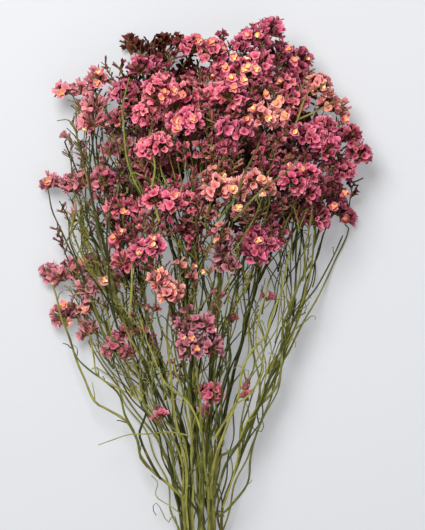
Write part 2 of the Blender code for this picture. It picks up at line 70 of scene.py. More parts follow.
# Stems: radii at the cut end and at the tip, and how far a fork may reach
MAIN_RADIUS_LOW = 2.3
MAIN_RADIUS_HIGH = 1.3
TWIG_RADIUS_LOW = 1.15
TWIG_RADIUS_HIGH = 0.85
STEM_STEP = 20.0
TWIG_STEP = 24.0
FORK_REACH = (50.0, 170.0)
FORK_SHORTEST = 30.0
FORK_TURN_COST = 90.0

# Flower heads: they face away from the focus, and shares are of a lobe's radius
FOCUS = (0.0, -110.0, 15.0)
FACING_LIFT = 0.25
BASE_SHARE = 0.94
FACE_TO_CORNER = 0.7947
SEAT_SHARE = FACE_TO_CORNER * BASE_SHARE
FULLNESS = 1.18
BACKING_REACH = 1.25
BACKING_SHARE = 0.85
DEEP_ENOUGH = 25.0
BACKED_LOBES = 2

# Clearances, and the passes that open them
GAP = 0.4
STEM_GAP = 0.3
SEAT_RUN = 2.5
HEAD_SPACING = 2.8
FOOT_SHARE = 0.8
HEAD_PASSES = 300
STEM_PASSES = 420
FREE_PASSES = 120
DEPTH_EASE = 2.0


class Tone(Enum):
    """The flower colours of the bunch."""

    CORAL = "coral"
    ROSE = "rose"
    SALMON = "salmon"
    MAUVE = "mauve"
    PLUM = "plum"
    BROWN = "brown"


class Layer(Enum):
    """The kinds of surface inside one flower piece, in the order of its materials."""

    CALYX = 0
    COROLLA = 1
    BRACT = 2
    STEM = 3


@dataclass(frozen=True)
class Lobe:
    """One rounded tuft of florets: its centre and its radius."""

    x: float
    y: float
    z: float
    radius: float


@dataclass(frozen=True)
class Spray:
    """One cut stem: the route of its main stem, its heads by tone, and its closed bud tips."""

    route: tuple[tuple[float, float, float], ...]
    heads: tuple[tuple[Tone, tuple[Lobe, ...]], ...]
    buds: tuple[Lobe, ...] = ()
    girth: float = 1.0


SPRAYS = {
    "left_low": Spray(
        route=((-18, -286, 2.4), (-9.3, -200, 2.4), (-17, -116, 7), (-23, -87, 10),
               (-33, -52, 14), (-54, -29, 17), (-70, -4, 18)),
        heads=(
            (Tone.ROSE, (Lobe(-98, 71, 7, 8), Lobe(-114, 69, 6, 7))),
            (Tone.MAUVE, (Lobe(-85, 56, 22, 8), Lobe(-82, 73, 26, 8), Lobe(-67, 61, 30, 7))),
            (Tone.CORAL, (Lobe(-88, 43, 14, 6.5), Lobe(-87, 28, 14, 6.5), Lobe(-103, 40, 13, 9))),
            (Tone.ROSE, (Lobe(-67, 15, 30, 7), Lobe(-59, 26, 33, 6.5), Lobe(-54, 12, 35, 5.5))),
        ),
        buds=(Lobe(-33, -32, 32, 4.5),),
    ),
    "left_mid": Spray(
        route=((-13, -278, 8), (-7, -200, 6.4), (-13, -116, 14), (-15, -80, 20), (-23, -44, 28),
               (-42, -1, 38),
               (-62, 43, 42), (-74, 78, 42)),
        heads=(
            (Tone.ROSE, (Lobe(-95, 133, 20, 8), Lobe(-111, 136, 14, 7))),
            (Tone.ROSE, (Lobe(-77, 136, 34, 9.5),)),
            (Tone.CORAL, (Lobe(-60, 117, 58, 7), Lobe(-48, 118, 63, 6.5))),
            (Tone.CORAL, (Lobe(-59, 77, 54, 8), Lobe(-61, 95, 54, 7))),
        ),
        buds=(Lobe(-95, 112, 36, 5), Lobe(-87, 94, 33, 5)),
    ),
    "left_top": Spray(
        route=((-8, -288, 2.4), (-4.7, -200, 2.4), (-10, -116, 6), (-11, -65, 11), (-26, -15, 20),
               (-45, 35, 27),
               (-60, 82, 30), (-69, 120, 30)),
        heads=(
            (Tone.CORAL, (Lobe(-89, 202, 28, 7), Lobe(-103, 201, 20, 6.5), Lobe(-77, 209, 36, 7.5))),
            (Tone.CORAL, (Lobe(-82, 179, 42, 9), Lobe(-81, 191, 38, 8), Lobe(-64, 180, 52, 7))),
            (Tone.ROSE, (Lobe(-59, 203, 46, 8),)),
            (Tone.MAUVE, (Lobe(-68, 161, 48, 6.5), Lobe(-57, 164, 54, 6.5))),
            (Tone.ROSE, (Lobe(-46, 214, 38, 8.5),)),
        ),
        buds=(Lobe(-100, 168, 22, 5.5),),
    ),
    "back": Spray(
        girth=1.3,
        route=((1, -276, 2.4), (0, -200, 2.4), (-3, -116, 4), (-6, -58, 7), (-11, 14, 9),
               (-14, 79, 12), (-17, 115, 14)),
        heads=(
            (Tone.BROWN, (Lobe(-42, 233, 12, 6), Lobe(-51, 237, 6, 6.5))),
            (Tone.BROWN, (Lobe(-37, 221, 22, 7.5), Lobe(-31, 234, 20, 6.5), Lobe(-21, 234, 22, 6))),
            (Tone.PLUM, (Lobe(-24, 214, 30, 8.5), Lobe(-11, 219, 28, 6.5))),
            (Tone.PLUM, (Lobe(-46, 190, 18, 8.5),)),
            (Tone.PLUM, (Lobe(11, 165, 42, 8), Lobe(5, 178, 38, 8.5))),
            (Tone.PLUM, (Lobe(0, 149, 18, 9.5), Lobe(17, 142, 22, 8))),
            (Tone.PLUM, (Lobe(-23, 145, 20, 9),)),
            (Tone.PLUM, (Lobe(41, 156, 14, 9),)),
        ),
    ),
    "front": Spray(
        girth=1.5,
        route=((-3, -284, 8), (-2.3, -200, 6.4), (-2, -116, 19), (-2, -58, 28), (-4, -15, 40),
               (-9, 45, 56), (-14, 92, 62)),
        heads=(
            (Tone.CORAL, (Lobe(-39, 179, 80, 8), Lobe(-28, 194, 86, 11))),
            (Tone.CORAL, (Lobe(-5, 196, 78, 9.5),)),
            (Tone.CORAL, (Lobe(-13, 178, 92, 8.5), Lobe(-23, 177, 90, 6.5))),
            (Tone.CORAL, (Lobe(-31, 161, 90, 8), Lobe(-41, 157, 84, 6))),
            (Tone.CORAL, (Lobe(-21, 120, 88, 8), Lobe(-34, 123, 86, 7.5), Lobe(-8, 121, 84, 7))),
            (Tone.ROSE, (Lobe(-46, 85, 80, 7.5), Lobe(-35, 89, 82, 7))),
            (Tone.SALMON, (Lobe(-26, 55, 76, 6.5), Lobe(-32, 65, 78, 7))),
            (Tone.MAUVE, (Lobe(-10, 17, 70, 9.5), Lobe(4, 17, 68, 8.5), Lobe(-13, 31, 68, 7),
                       Lobe(0, 33, 72, 8.5))),
            (Tone.PLUM, (Lobe(-13, 101, 72, 7),)),
        ),
        buds=(Lobe(-22, 34, 54, 4),),
    ),
    "centre_top": Spray(
        girth=1.45,
        route=((5, -290, 8), (2.4, -200, 6.4), (3, -116, 12), (3, -58, 20), (5, -8, 30),
               (9, 50, 42), (14, 100, 50)),
        heads=(
            (Tone.CORAL, (Lobe(15, 212, 52, 10), Lobe(7, 227, 56, 9.5), Lobe(-6, 231, 52, 8.5))),
            (Tone.ROSE, (Lobe(36, 235, 48, 9.5), Lobe(47, 242, 44, 8.5), Lobe(26, 230, 52, 7))),
            (Tone.CORAL, (Lobe(33, 208, 68, 10), Lobe(44, 217, 60, 8))),
            (Tone.CORAL, (Lobe(13, 195, 84, 10),)),
            (Tone.SALMON, (Lobe(39, 179, 86, 9),)),
            (Tone.ROSE, (Lobe(18, 160, 86, 6.5), Lobe(18, 174, 94, 6.5), Lobe(29, 172, 94, 6.5))),
            (Tone.PLUM, (Lobe(30, 193, 54, 8),)),
            (Tone.SALMON, (Lobe(23, 129, 88, 7), Lobe(8, 128, 90, 9.5), Lobe(33, 135, 84, 7),
                        Lobe(42, 130, 80, 6))),
            (Tone.ROSE, (Lobe(36, 84, 66, 8), Lobe(36, 95, 68, 7), Lobe(48, 89, 62, 6))),
            (Tone.MAUVE, (Lobe(18, 76, 66, 6), Lobe(12, 86, 68, 7))),
            (Tone.CORAL, (Lobe(6, -17, 46, 6.5),)),
        ),
        buds=(Lobe(0, -30, 48, 4), Lobe(9, 44, 58, 5)),
    ),
    "right_top": Spray(
        route=((9, -280, 2.4), (4.7, -200, 2.4), (6, -116, 5), (9, -71, 10), (17, -22, 16),
               (30, 28, 22), (42, 79, 28), (50, 118, 32)),
        heads=(
            (Tone.ROSE, (Lobe(67, 215, 34, 9), Lobe(57, 226, 36, 9.5), Lobe(73, 225, 32, 7))),
            (Tone.CORAL, (Lobe(62, 195, 54, 8), Lobe(52, 206, 56, 8.5), Lobe(50, 188, 62, 9))),
            (Tone.SALMON, (Lobe(85, 192, 30, 8), Lobe(77, 205, 36, 8))),
            (Tone.PLUM, (Lobe(69, 182, 16, 9),)),
        ),
    ),
    "right_mid": Spray(
        route=((18, -287, 2.4), (9.3, -200, 2.4), (12, -116, 9), (15, -98, 11), (24, -71, 16),
               (38, -33, 21),
               (52, 7, 26), (60, 46, 28), (66, 70, 30)),
        heads=(
            (Tone.ROSE, (Lobe(87, 159, 54, 9), Lobe(77, 167, 58, 8.5), Lobe(68, 169, 60, 7),
                      Lobe(87, 174, 52, 7))),
            (Tone.ROSE, (Lobe(100, 143, 34, 8.5), Lobe(112, 156, 28, 8.5), Lobe(105, 169, 30, 8))),
            (Tone.MAUVE, (Lobe(54, 154, 52, 10),)),
            (Tone.ROSE, (Lobe(63, 136, 72, 10), Lobe(75, 140, 68, 6.5), Lobe(75, 127, 64, 6.5))),
            (Tone.ROSE, (Lobe(98, 116, 8, 8), Lobe(93, 127, 12, 9), Lobe(106, 110, 5, 6))),
            (Tone.ROSE, (Lobe(80, 109, 44, 9.5),)),
            (Tone.MAUVE, (Lobe(48, 113, 40, 8.5),)),
        ),
        buds=(Lobe(31, -12, 40, 4.5),),
    ),
}


FLOOR_CLEARANCE = 0.2

COROLLA_SHARES = {
    Tone.CORAL: 0.05,
    Tone.ROSE: 0.03,
    Tone.SALMON: 0.10,
    Tone.MAUVE: 0.02,
    Tone.PLUM: 0.01,
    Tone.BROWN: 0.01,
}


# How the picture's pixels lie over the bunch: the column over x = 0, the height of its top edge
# and the size of a pixel, in millimetres
PICTURE_MIDDLE = 204.5
PICTURE_TOP = 265.84
PIXEL = 0.72


def from_picture(column: float, row: float, height: float) -> np.ndarray:
    """Return the place in the bunch that a pixel of the picture shows, at a given height."""
    return np.array(((column - PICTURE_MIDDLE) * PIXEL, PICTURE_TOP - row * PIXEL, height))


@dataclass(frozen=True)
class TracedTwig:
    """A thin twig that the picture shows plainly, from its foot upwards.

    Attributes:
        spray: the stem that it belongs to.
        radii: its radius at the foot and at the tip, in millimetres.
        heights: its height above the surface at the foot and at the tip.
        places: the picture's columns and rows that it passes.
    """

    spray: str
    radii: tuple[float, float]
    heights: tuple[float, float]
    places: tuple[tuple[float, float], ...]


TRACED_TWIGS = (
    TracedTwig("left_low", (1.3, 0.7), (12, 16), (
        (190, 530), (187, 507), (173, 493), (160, 482), (147, 470), (138, 457), (137, 443), (127, 425),
        (107, 412), (93, 403), (80, 377), (70, 350), (60, 320), (55, 300), (50, 285))),
    TracedTwig("left_low", (1.0, 0.6), (13, 20), (
        (147, 470), (140, 460), (138, 447), (132, 433), (123, 417), (117, 397), (103, 383), (87, 370),
        (75, 357), (66, 335), (62, 318))),
    TracedTwig("left_mid", (1.2, 0.6), (16, 24), (
        (190, 530), (187, 480), (185, 443), (173, 430), (157, 417), (140, 403), (117, 390), (97, 377),
        (93, 357), (88, 335))),
    TracedTwig("left_mid", (0.6, 0.3), (30, 26), (
        (193, 437), (170, 433), (147, 435), (127, 436), (110, 442), (97, 447))),
    TracedTwig("left_mid", (1.1, 0.6), (18, 30), (
        (183, 530), (182, 473), (177, 450), (167, 433), (150, 417), (143, 397), (137, 373), (123, 360),
        (112, 340), (104, 310), (98, 285))),
    TracedTwig("left_top", (1.0, 0.6), (12, 30), (
        (160, 482), (150, 465), (140, 443), (138, 433), (145, 410), (143, 387), (147, 367), (148, 333),
        (143, 303), (135, 270), (128, 240))),
    TracedTwig("left_top", (1.3, 0.7), (20, 44), (
        (187, 530), (185, 473), (180, 443), (175, 417), (172, 383), (168, 350), (167, 320), (168, 300),
        (160, 260), (150, 220))),
    TracedTwig("left_top", (0.8, 0.4), (30, 26), (
        (192, 430), (190, 400), (185, 387), (177, 375), (163, 372), (153, 378), (145, 390), (140, 410))),
    TracedTwig("left_mid", (0.9, 0.5), (22, 40), (
        (185, 530), (183, 500), (175, 473), (170, 447), (160, 425), (152, 395), (154, 370), (160, 340),
        (155, 300))),
    TracedTwig("left_low", (0.9, 0.5), (22, 28), (
        (198, 517), (193, 507), (177, 487), (163, 460), (160, 440), (150, 420), (130, 400), (118, 378),
        (110, 355))),
    TracedTwig("back", (1.2, 0.6), (16, 30), (
        (192, 530), (192, 467), (190, 433), (185, 400), (180, 377), (183, 357), (185, 320), (183, 300),
        (186, 260), (190, 220))),
    TracedTwig("back", (1.2, 0.6), (20, 40), (
        (188, 530), (193, 473), (195, 443), (193, 410), (197, 380), (204, 340), (212, 300), (216, 260))),
    TracedTwig("front", (1.2, 0.6), (30, 66), (
        (208, 530), (207, 487), (205, 460), (203, 427), (199, 390), (192, 350), (186, 310))),
    TracedTwig("front", (0.9, 0.5), (34, 44), (
        (203, 440), (198, 420), (190, 405), (180, 395), (168, 385), (160, 372), (150, 350), (140, 320))),
    TracedTwig("right_top", (1.5, 0.7), (16, 30), (
        (213, 530), (215, 487), (220, 460), (233, 453), (242, 443), (250, 423), (260, 407), (273, 393),
        (280, 377), (283, 330), (290, 310), (300, 285), (312, 262))),
    TracedTwig("right_mid", (0.9, 0.4), (18, 24), (
        (217, 520), (230, 510), (247, 487), (250, 460), (260, 427), (273, 397), (280, 370), (287, 350),
        (293, 323), (307, 313))),
    TracedTwig("centre_top", (1.2, 0.6), (28, 50), (
        (210, 500), (212, 473), (217, 450), (227, 427), (237, 400), (243, 373), (253, 350), (267, 333),
        (276, 305), (284, 275), (290, 250))),
    TracedTwig("centre_top", (1.0, 0.6), (30, 58), (
        (205, 470), (207, 450), (213, 433), (220, 410), (223, 387), (230, 360), (227, 333), (233, 300),
        (240, 270), (250, 240))),
    TracedTwig("right_mid", (0.7, 0.4), (20, 34), (
        (223, 510), (230, 487), (237, 460), (240, 443), (247, 423), (262, 400), (268, 375), (272, 350),
        (262, 320))),
    TracedTwig("right_top", (1.0, 0.5), (24, 30), (
        (215, 500), (225, 470), (243, 440), (262, 400), (275, 365), (286, 340), (300, 310), (318, 285),
        (335, 255), (344, 235))),
    TracedTwig("centre_top", (0.9, 0.5), (32, 50), (
        (214, 440), (226, 420), (236, 405), (250, 395), (262, 370), (255, 345), (262, 310), (270, 280))),
    TracedTwig("left_low", (0.5, 0.3), (8, 6), (
        (176, 530), (167, 527), (160, 513), (155, 507), (152, 510), (152, 516), (155, 521))),
    TracedTwig("left_low", (0.5, 0.3), (12, 8), (
        (180, 517), (170, 510), (155, 500), (157, 487), (150, 480))),
    TracedTwig("right_mid", (0.4, 0.25), (22, 30), (
        (247, 423), (254, 430), (260, 434), (264, 428), (262, 420), (257, 419))),
    TracedTwig("left_low", (0.9, 0.5), (24, 16), (
        (104, 340), (97, 320), (92, 305), (82, 280), (72, 255), (60, 232), (50, 210), (45, 187))),
    TracedTwig("left_low", (0.7, 0.4), (24, 20), ((84, 284), (76, 260), (66, 240), (67, 220), (57, 200))),
    TracedTwig("left_low", (0.6, 0.4), (22, 30), ((63, 245), (72, 230), (82, 215), (88, 204))),
    TracedTwig("left_mid", (0.9, 0.5), (30, 36), (
        (118, 330), (110, 305), (102, 280), (97, 255), (90, 230), (85, 210), (85, 187))),
    TracedTwig("left_mid", (0.9, 0.5), (34, 32), (
        (106, 270), (100, 242), (95, 220), (89, 192), (84, 167), (81, 152), (76, 130), (75, 110))),
    TracedTwig("left_mid", (0.7, 0.4), (32, 26), ((92, 200), (85, 172), (81, 157), (75, 145), (65, 135))),
    TracedTwig("left_top", (0.9, 0.5), (36, 40), (
        (108, 262), (97, 220), (92, 192), (89, 165), (91, 145), (95, 120), (97, 95))),
    TracedTwig("left_top", (0.9, 0.5), (44, 56), (
        (115, 317), (112, 292), (110, 265), (107, 240), (110, 215), (117, 192), (120, 175))),
    TracedTwig("left_top", (0.8, 0.5), (52, 62), (
        (130, 317), (132, 292), (135, 265), (140, 242), (145, 220), (147, 200))),
    TracedTwig("left_top", (0.8, 0.5), (62, 66), ((145, 197), (140, 185), (131, 170), (129, 152), (127, 132))),
    TracedTwig("left_top", (0.7, 0.4), (60, 64), ((142, 198), (135, 187), (122, 175), (107, 162), (102, 145))),
    TracedTwig("left_top", (0.8, 0.4), (58, 70), ((147, 207), (133, 177), (127, 153), (125, 110), (130, 80))),
    TracedTwig("front", (0.9, 0.5), (84, 98), ((217, 222), (237, 197), (243, 180), (252, 160), (258, 146))),
    TracedTwig("front", (0.8, 0.5), (82, 92), ((233, 222), (260, 193), (290, 170), (298, 158))),
    TracedTwig("front", (0.8, 0.5), (76, 92), ((205, 222), (217, 177), (223, 160), (233, 153))),
    TracedTwig("front", (0.8, 0.5), (72, 86), ((197, 232), (195, 210), (193, 193), (187, 163))),
    TracedTwig("front", (0.8, 0.5), (70, 84), ((160, 222), (153, 193), (157, 170), (150, 143))),
    TracedTwig("right_top", (0.8, 0.4), (48, 40), ((293, 132), (300, 113), (307, 93), (318, 87), (327, 83))),
    TracedTwig("right_top", (0.7, 0.4), (44, 36), ((298, 120), (316, 112), (330, 104), (340, 101), (346, 112))),
)

# The picture's columns and rows of the small open flowers
YELLOW_FLOWERS = (
    (258, 37), (234, 61), (243, 74), (248, 71), (255, 73), (231, 83), (243, 85), (267, 122), (293, 134),
    (232, 191), (237, 209), (258, 241), (84, 231), (141, 253), (154, 245), (105, 280), (82, 261))
ORANGE_FLOWERS = (
    (248, 36), (199, 42), (211, 44), (288, 50), (294, 62), (225, 72), (233, 93), (166, 97), (163, 103),
    (182, 99), (175, 95), (265, 98), (283, 119), (177, 125), (194, 123), (301, 171), (176, 197), (345, 193),
    (334, 207), (348, 219), (345, 120), (45, 179), (59, 91), (97, 83), (125, 212), (113, 238), (61, 305),
    (83, 310), (192, 337), (197, 347), (261, 181), (275, 107), (279, 102), (178, 132), (246, 124))

# The picture's columns and rows of the few florets that stand alone among the lower twigs
LONE_FLORETS = ((247, 396), (249, 389), (204, 414), (158, 416), (161, 413), (268, 296), (140, 330), (232, 318))


@dataclass
class Head:
    """A flower head in its settled place.

    Attributes:
        name: the CAD node that the head's florets stand for.
        tone: its colour.
        spray: the stem that carries it.
        centres: the middles of its lobes.
        radii: the sizes of its lobes.
    """

    name: str
    tone: Tone
    spray: str
    centres: np.ndarray
    radii: np.ndarray

    @property
    def axis(self) -> np.ndarray:
        """The way that the head faces, out from the low focus of the bunch and a little up."""
        way = self.centres[0] - np.array(FOCUS)
        way = way / np.linalg.norm(way) + np.array((0.0, 0.0, FACING_LIFT))
        return way / np.linalg.norm(way)


@dataclass
class Limb:
    """A main stem or a twig.

    Attributes:
        spray: the stem that it belongs to.
        points: its route in millimetres.
        radii: its radius at each point.
        parent: the limb that it forks from, or -1.
        parent_point: the point of that limb where it forks.
        head: the flower head at its end, or -1.
        bud: the size of the closed bud at its end, or 0.
    """

    spray: str
    points: np.ndarray
    radii: np.ndarray
    parent: int = -1
    parent_point: int = 0
    head: int = -1
    bud: float = 0.0


def unit(way: np.ndarray) -> np.ndarray:
    """Return the direction of a vector."""
    return way / np.linalg.norm(way)


class HeadPlan:
    """Reads the flower heads of the design lists and eases them apart."""

    def __init__(self) -> None:
        """Read every head, each with its backing tuft and its lowest lobe first."""
        self.heads: list[Head] = []
        for spray_name, spray in SPRAYS.items():
            for number, (tone, lobes) in enumerate(spray.heads, start=1):
                name = f"head_{spray_name}_{number}_{tone.value}"
                self.heads.append(self.read(name, tone, spray_name, lobes))
        self.settle()

    def read(self, name: str, tone: Tone, spray: str, lobes: tuple[Lobe, ...]) -> Head:
        """Return one head.

        Args:
            name: the CAD node's name.
            tone: the head's colour.
            spray: the stem that carries it.
            lobes: the tufts that the design gives it.

        Returns:
            The head, before it is eased apart from its neighbours.
        """
        centres = np.array([(lobe.x, lobe.y, lobe.z) for lobe in lobes], float)
        radii = FULLNESS * np.array([lobe.radius for lobe in lobes], float)
        head = Head(name, tone, spray, centres, radii)
        if len(lobes) <= BACKED_LOBES:
            centre, radius = self.backing_tuft(head, random.Random(name))
            head.centres = np.vstack([head.centres, centre])
            head.radii = np.append(head.radii, radius)
        order = np.argsort(head.centres @ head.axis)
        head.centres, head.radii = head.centres[order], head.radii[order]
        return head

    @staticmethod
    def backing_tuft(head: Head, rng: random.Random) -> tuple[np.ndarray, float]:
        """Return one more tuft, beside the head's first one and deeper in the bunch.

        Args:
            head: the head that it backs.
            rng: the head's own random numbers.

        Returns:
            The tuft's middle and its radius.
        """
        centre, radius = head.centres[0], head.radii[0]
        side = np.cross(head.axis, (0.0, 0.0, 1.0)) * rng.choice((-1.0, 1.0))
        depth = -1.0 if centre[2] > DEEP_ENOUGH else 1.0
        way = 0.7 * side + depth * np.array((0.0, 0.0, 0.7))
        return centre + way / np.linalg.norm(way) * radius * BACKING_REACH, radius * BACKING_SHARE

    def settle(self) -> None:
        """Ease the heads apart, mostly in depth, until no lobe of one reaches a lobe of another."""
        centres = np.vstack([head.centres for head in self.heads])
        radii = np.concatenate([head.radii for head in self.heads])
        owner = np.concatenate([[index] * len(head.radii) for index, head in enumerate(self.heads)])
        apart = owner[:, None] != owner[None, :]
        need = radii[:, None] + radii[None, :] + HEAD_SPACING
        lobes_each = np.bincount(owner)
        for _ in range(HEAD_PASSES):
            offset = centres[:, None, :] - centres[None, :, :]
            distance = np.linalg.norm(offset, axis=2) + 1e-9
            push = np.where(apart, np.clip(need - distance, 0.0, None), 0.0)
            way = offset / distance[..., None]
            way[..., 2] *= DEPTH_EASE
            move = 0.3 * (way * push[..., None]).sum(axis=1)
            for axis in range(3):
                shared = np.bincount(owner, weights=move[:, axis]) / lobes_each
                centres[:, axis] += shared[owner]
            sunk = np.zeros(len(self.heads))
            np.maximum.at(sunk, owner, FOOT_SHARE * radii - centres[:, 2])
            centres[:, 2] += np.clip(sunk, 0.0, None)[owner]
        for index, head in enumerate(self.heads):
            head.centres = centres[owner == index]


def smooth_route(points: np.ndarray | tuple, step: float) -> np.ndarray:
    """Return points at about equal steps along a smooth curve through the given ones.

    Args:
        points: the points that the curve passes.
        step: the distance between the returned points, in millimetres.

    Returns:
        One row for each point.
    """
    knots = np.array(points, float)
    ends = np.vstack([2 * knots[0] - knots[1], knots, 2 * knots[-1] - knots[-2]])
    fine = []
    for a, b, c, d in zip(ends[:-3], ends[1:-2], ends[2:-1], ends[3:]):
        for t in np.linspace(0.0, 1.0, 16, endpoint=False):
            fine.append(0.5 * (2 * b + (c - a) * t + (2 * a - 5 * b + 4 * c - d) * t**2
                               + (3 * b - a - 3 * c + d) * t**3))
    fine = np.array(fine + [knots[-1]])
    run = np.concatenate([[0.0], np.cumsum(np.linalg.norm(np.diff(fine, axis=0), axis=1))])
    count = max(2, round(run[-1] / step) + 1)
    marks = np.linspace(0.0, run[-1], count)
    return np.stack([np.interp(marks, run, fine[:, axis]) for axis in range(3)], axis=1)


def eased_fork(start: np.ndarray, leave: np.ndarray, target: np.ndarray, arrive: np.ndarray,
               count: int) -> np.ndarray:
    """Return a curve that leaves one point and meets another along given directions.

    Args:
        start: where it leaves its stem.
        leave: the direction there.
        target: where it ends.
        arrive: the direction there.
        count: how many points to return.

    Returns:
        One row for each point.
    """
    handle = np.linalg.norm(target - start) / 3.0
    corners = (start, start + leave * handle, target - arrive * handle, target)
    marks = np.linspace(0.0, 1.0, count)[:, None]
    return ((1 - marks) ** 3 * corners[0] + 3 * (1 - marks) ** 2 * marks * corners[1]
            + 3 * (1 - marks) * marks**2 * corners[2] + marks**3 * corners[3])


class LimbPlan:
    """Grows every spray's main stem and twigs, lowest head first, so that twigs fork from twigs."""

    def __init__(self, heads: list[Head]) -> None:
        """Grow all the limbs.

        Args:
            heads: the settled heads that the twigs end under.
        """
        self.limbs: list[Limb] = []
        for name, spray in SPRAYS.items():
            self.grow_spray(name, spray, heads)

    def grow_spray(self, name: str, spray: Spray, heads: list[Head]) -> None:
        """Grow one spray.

        Args:
            name: the spray's name.
            spray: its design.
            heads: all the heads of the bunch.
        """
        rng = random.Random(name)
        members = [len(self.limbs)]
        route = smooth_route(spray.route, STEM_STEP)
        radii = spray.girth * np.linspace(MAIN_RADIUS_LOW, MAIN_RADIUS_HIGH, len(route))
        self.limbs.append(Limb(name, route, radii))
        ends = []
        for index, head in enumerate(heads):
            if head.spray == name:
                tip = head.centres[0] - head.axis * (SEAT_SHARE * head.radii[0] + GAP)
                ends.append((tip, head.axis, index, 0.0))
        for bud in spray.buds:
            tip = np.array((bud.x, bud.y, bud.z), float)
            way = tip - np.array(FOCUS)
            ends.append((tip, way / np.linalg.norm(way), -1, bud.radius))
        for tip, axis, head, bud in sorted(ends, key=lambda end: end[0][1]):
            curve, parent, number = self.grow_twig(members, tip, axis, rng.uniform(*FORK_REACH))
            radii = np.linspace(TWIG_RADIUS_LOW, TWIG_RADIUS_HIGH, len(curve))
            members.append(len(self.limbs))
            self.limbs.append(Limb(name, curve, radii, parent, number, head, bud))
        main = self.limbs[members[0]]
        forks = [limb.parent_point for limb in self.limbs[members[0]:] if limb.parent == members[0]]
        main.points, main.radii = main.points[:max(forks) + 1], main.radii[:max(forks) + 1]

    def grow_twig(self, members: list[int], target: np.ndarray, axis: np.ndarray,
                  wanted: float) -> tuple[np.ndarray, int, int]:
        """Return a fork that leaves a lower stem, curves out and meets its seat along the head's axis.

        Args:
            members: the limbs of the spray so far.
            target: the seat.
            axis: the direction that the head faces.
            wanted: how long the twig would like to be.

        Returns:
            Its route, its parent and the parent's point where it forks.
        """
        best = None
        for index in members:
            limb = self.limbs[index]
            free_points = limb.points[:-2] if limb.parent >= 0 else limb.points
            for number, point in enumerate(free_points):
                way = target - point
                reach = np.linalg.norm(way)
                if number == 0 or reach < FORK_SHORTEST:
                    continue
                cost = abs(reach - wanted) + FORK_TURN_COST * (1.0 - (way / reach) @ axis)
                if best is None or cost < best[0]:
                    best = (cost, index, number)
        _, parent, number = best
        stem = self.limbs[parent].points
        seat = target
        target = seat - axis * SEAT_RUN
        start = stem[number]
        along = start - stem[number - 1]
        along = along / np.linalg.norm(along)
        reach = np.linalg.norm(target - start)
        count = max(4, round(reach / TWIG_STEP) + 1)
        return np.vstack([eased_fork(start, along, target, axis, count), seat]), parent, number


def closest_shares(a: np.ndarray, b: np.ndarray, c: np.ndarray,
                   d: np.ndarray) -> tuple[np.ndarray, np.ndarray]:
    """Return how far along segments a-b and c-d their closest points lie.

    Args:
        a: the first segments' starts.
        b: the first segments' ends.
        c: the second segments' starts.
        d: the second segments' ends.

    Returns:
        The shares along the first and the second segments, from 0 to 1.
    """
    u, v, w = b - a, d - c, a - c
    uu, uv, vv = (u * u).sum(1), (u * v).sum(1), (v * v).sum(1)
    uw, vw = (u * w).sum(1), (v * w).sum(1)
    spread = uu * vv - uv * uv
    s = np.where(spread > 1e-9, np.clip((uv * vw - vv * uw) / np.maximum(spread, 1e-9), 0, 1), 0.5)
    t = np.clip((uv * s + vw) / np.maximum(vv, 1e-9), 0, 1)
    s = np.clip((uv * t - uw) / np.maximum(uu, 1e-9), 0, 1)
    return s, t


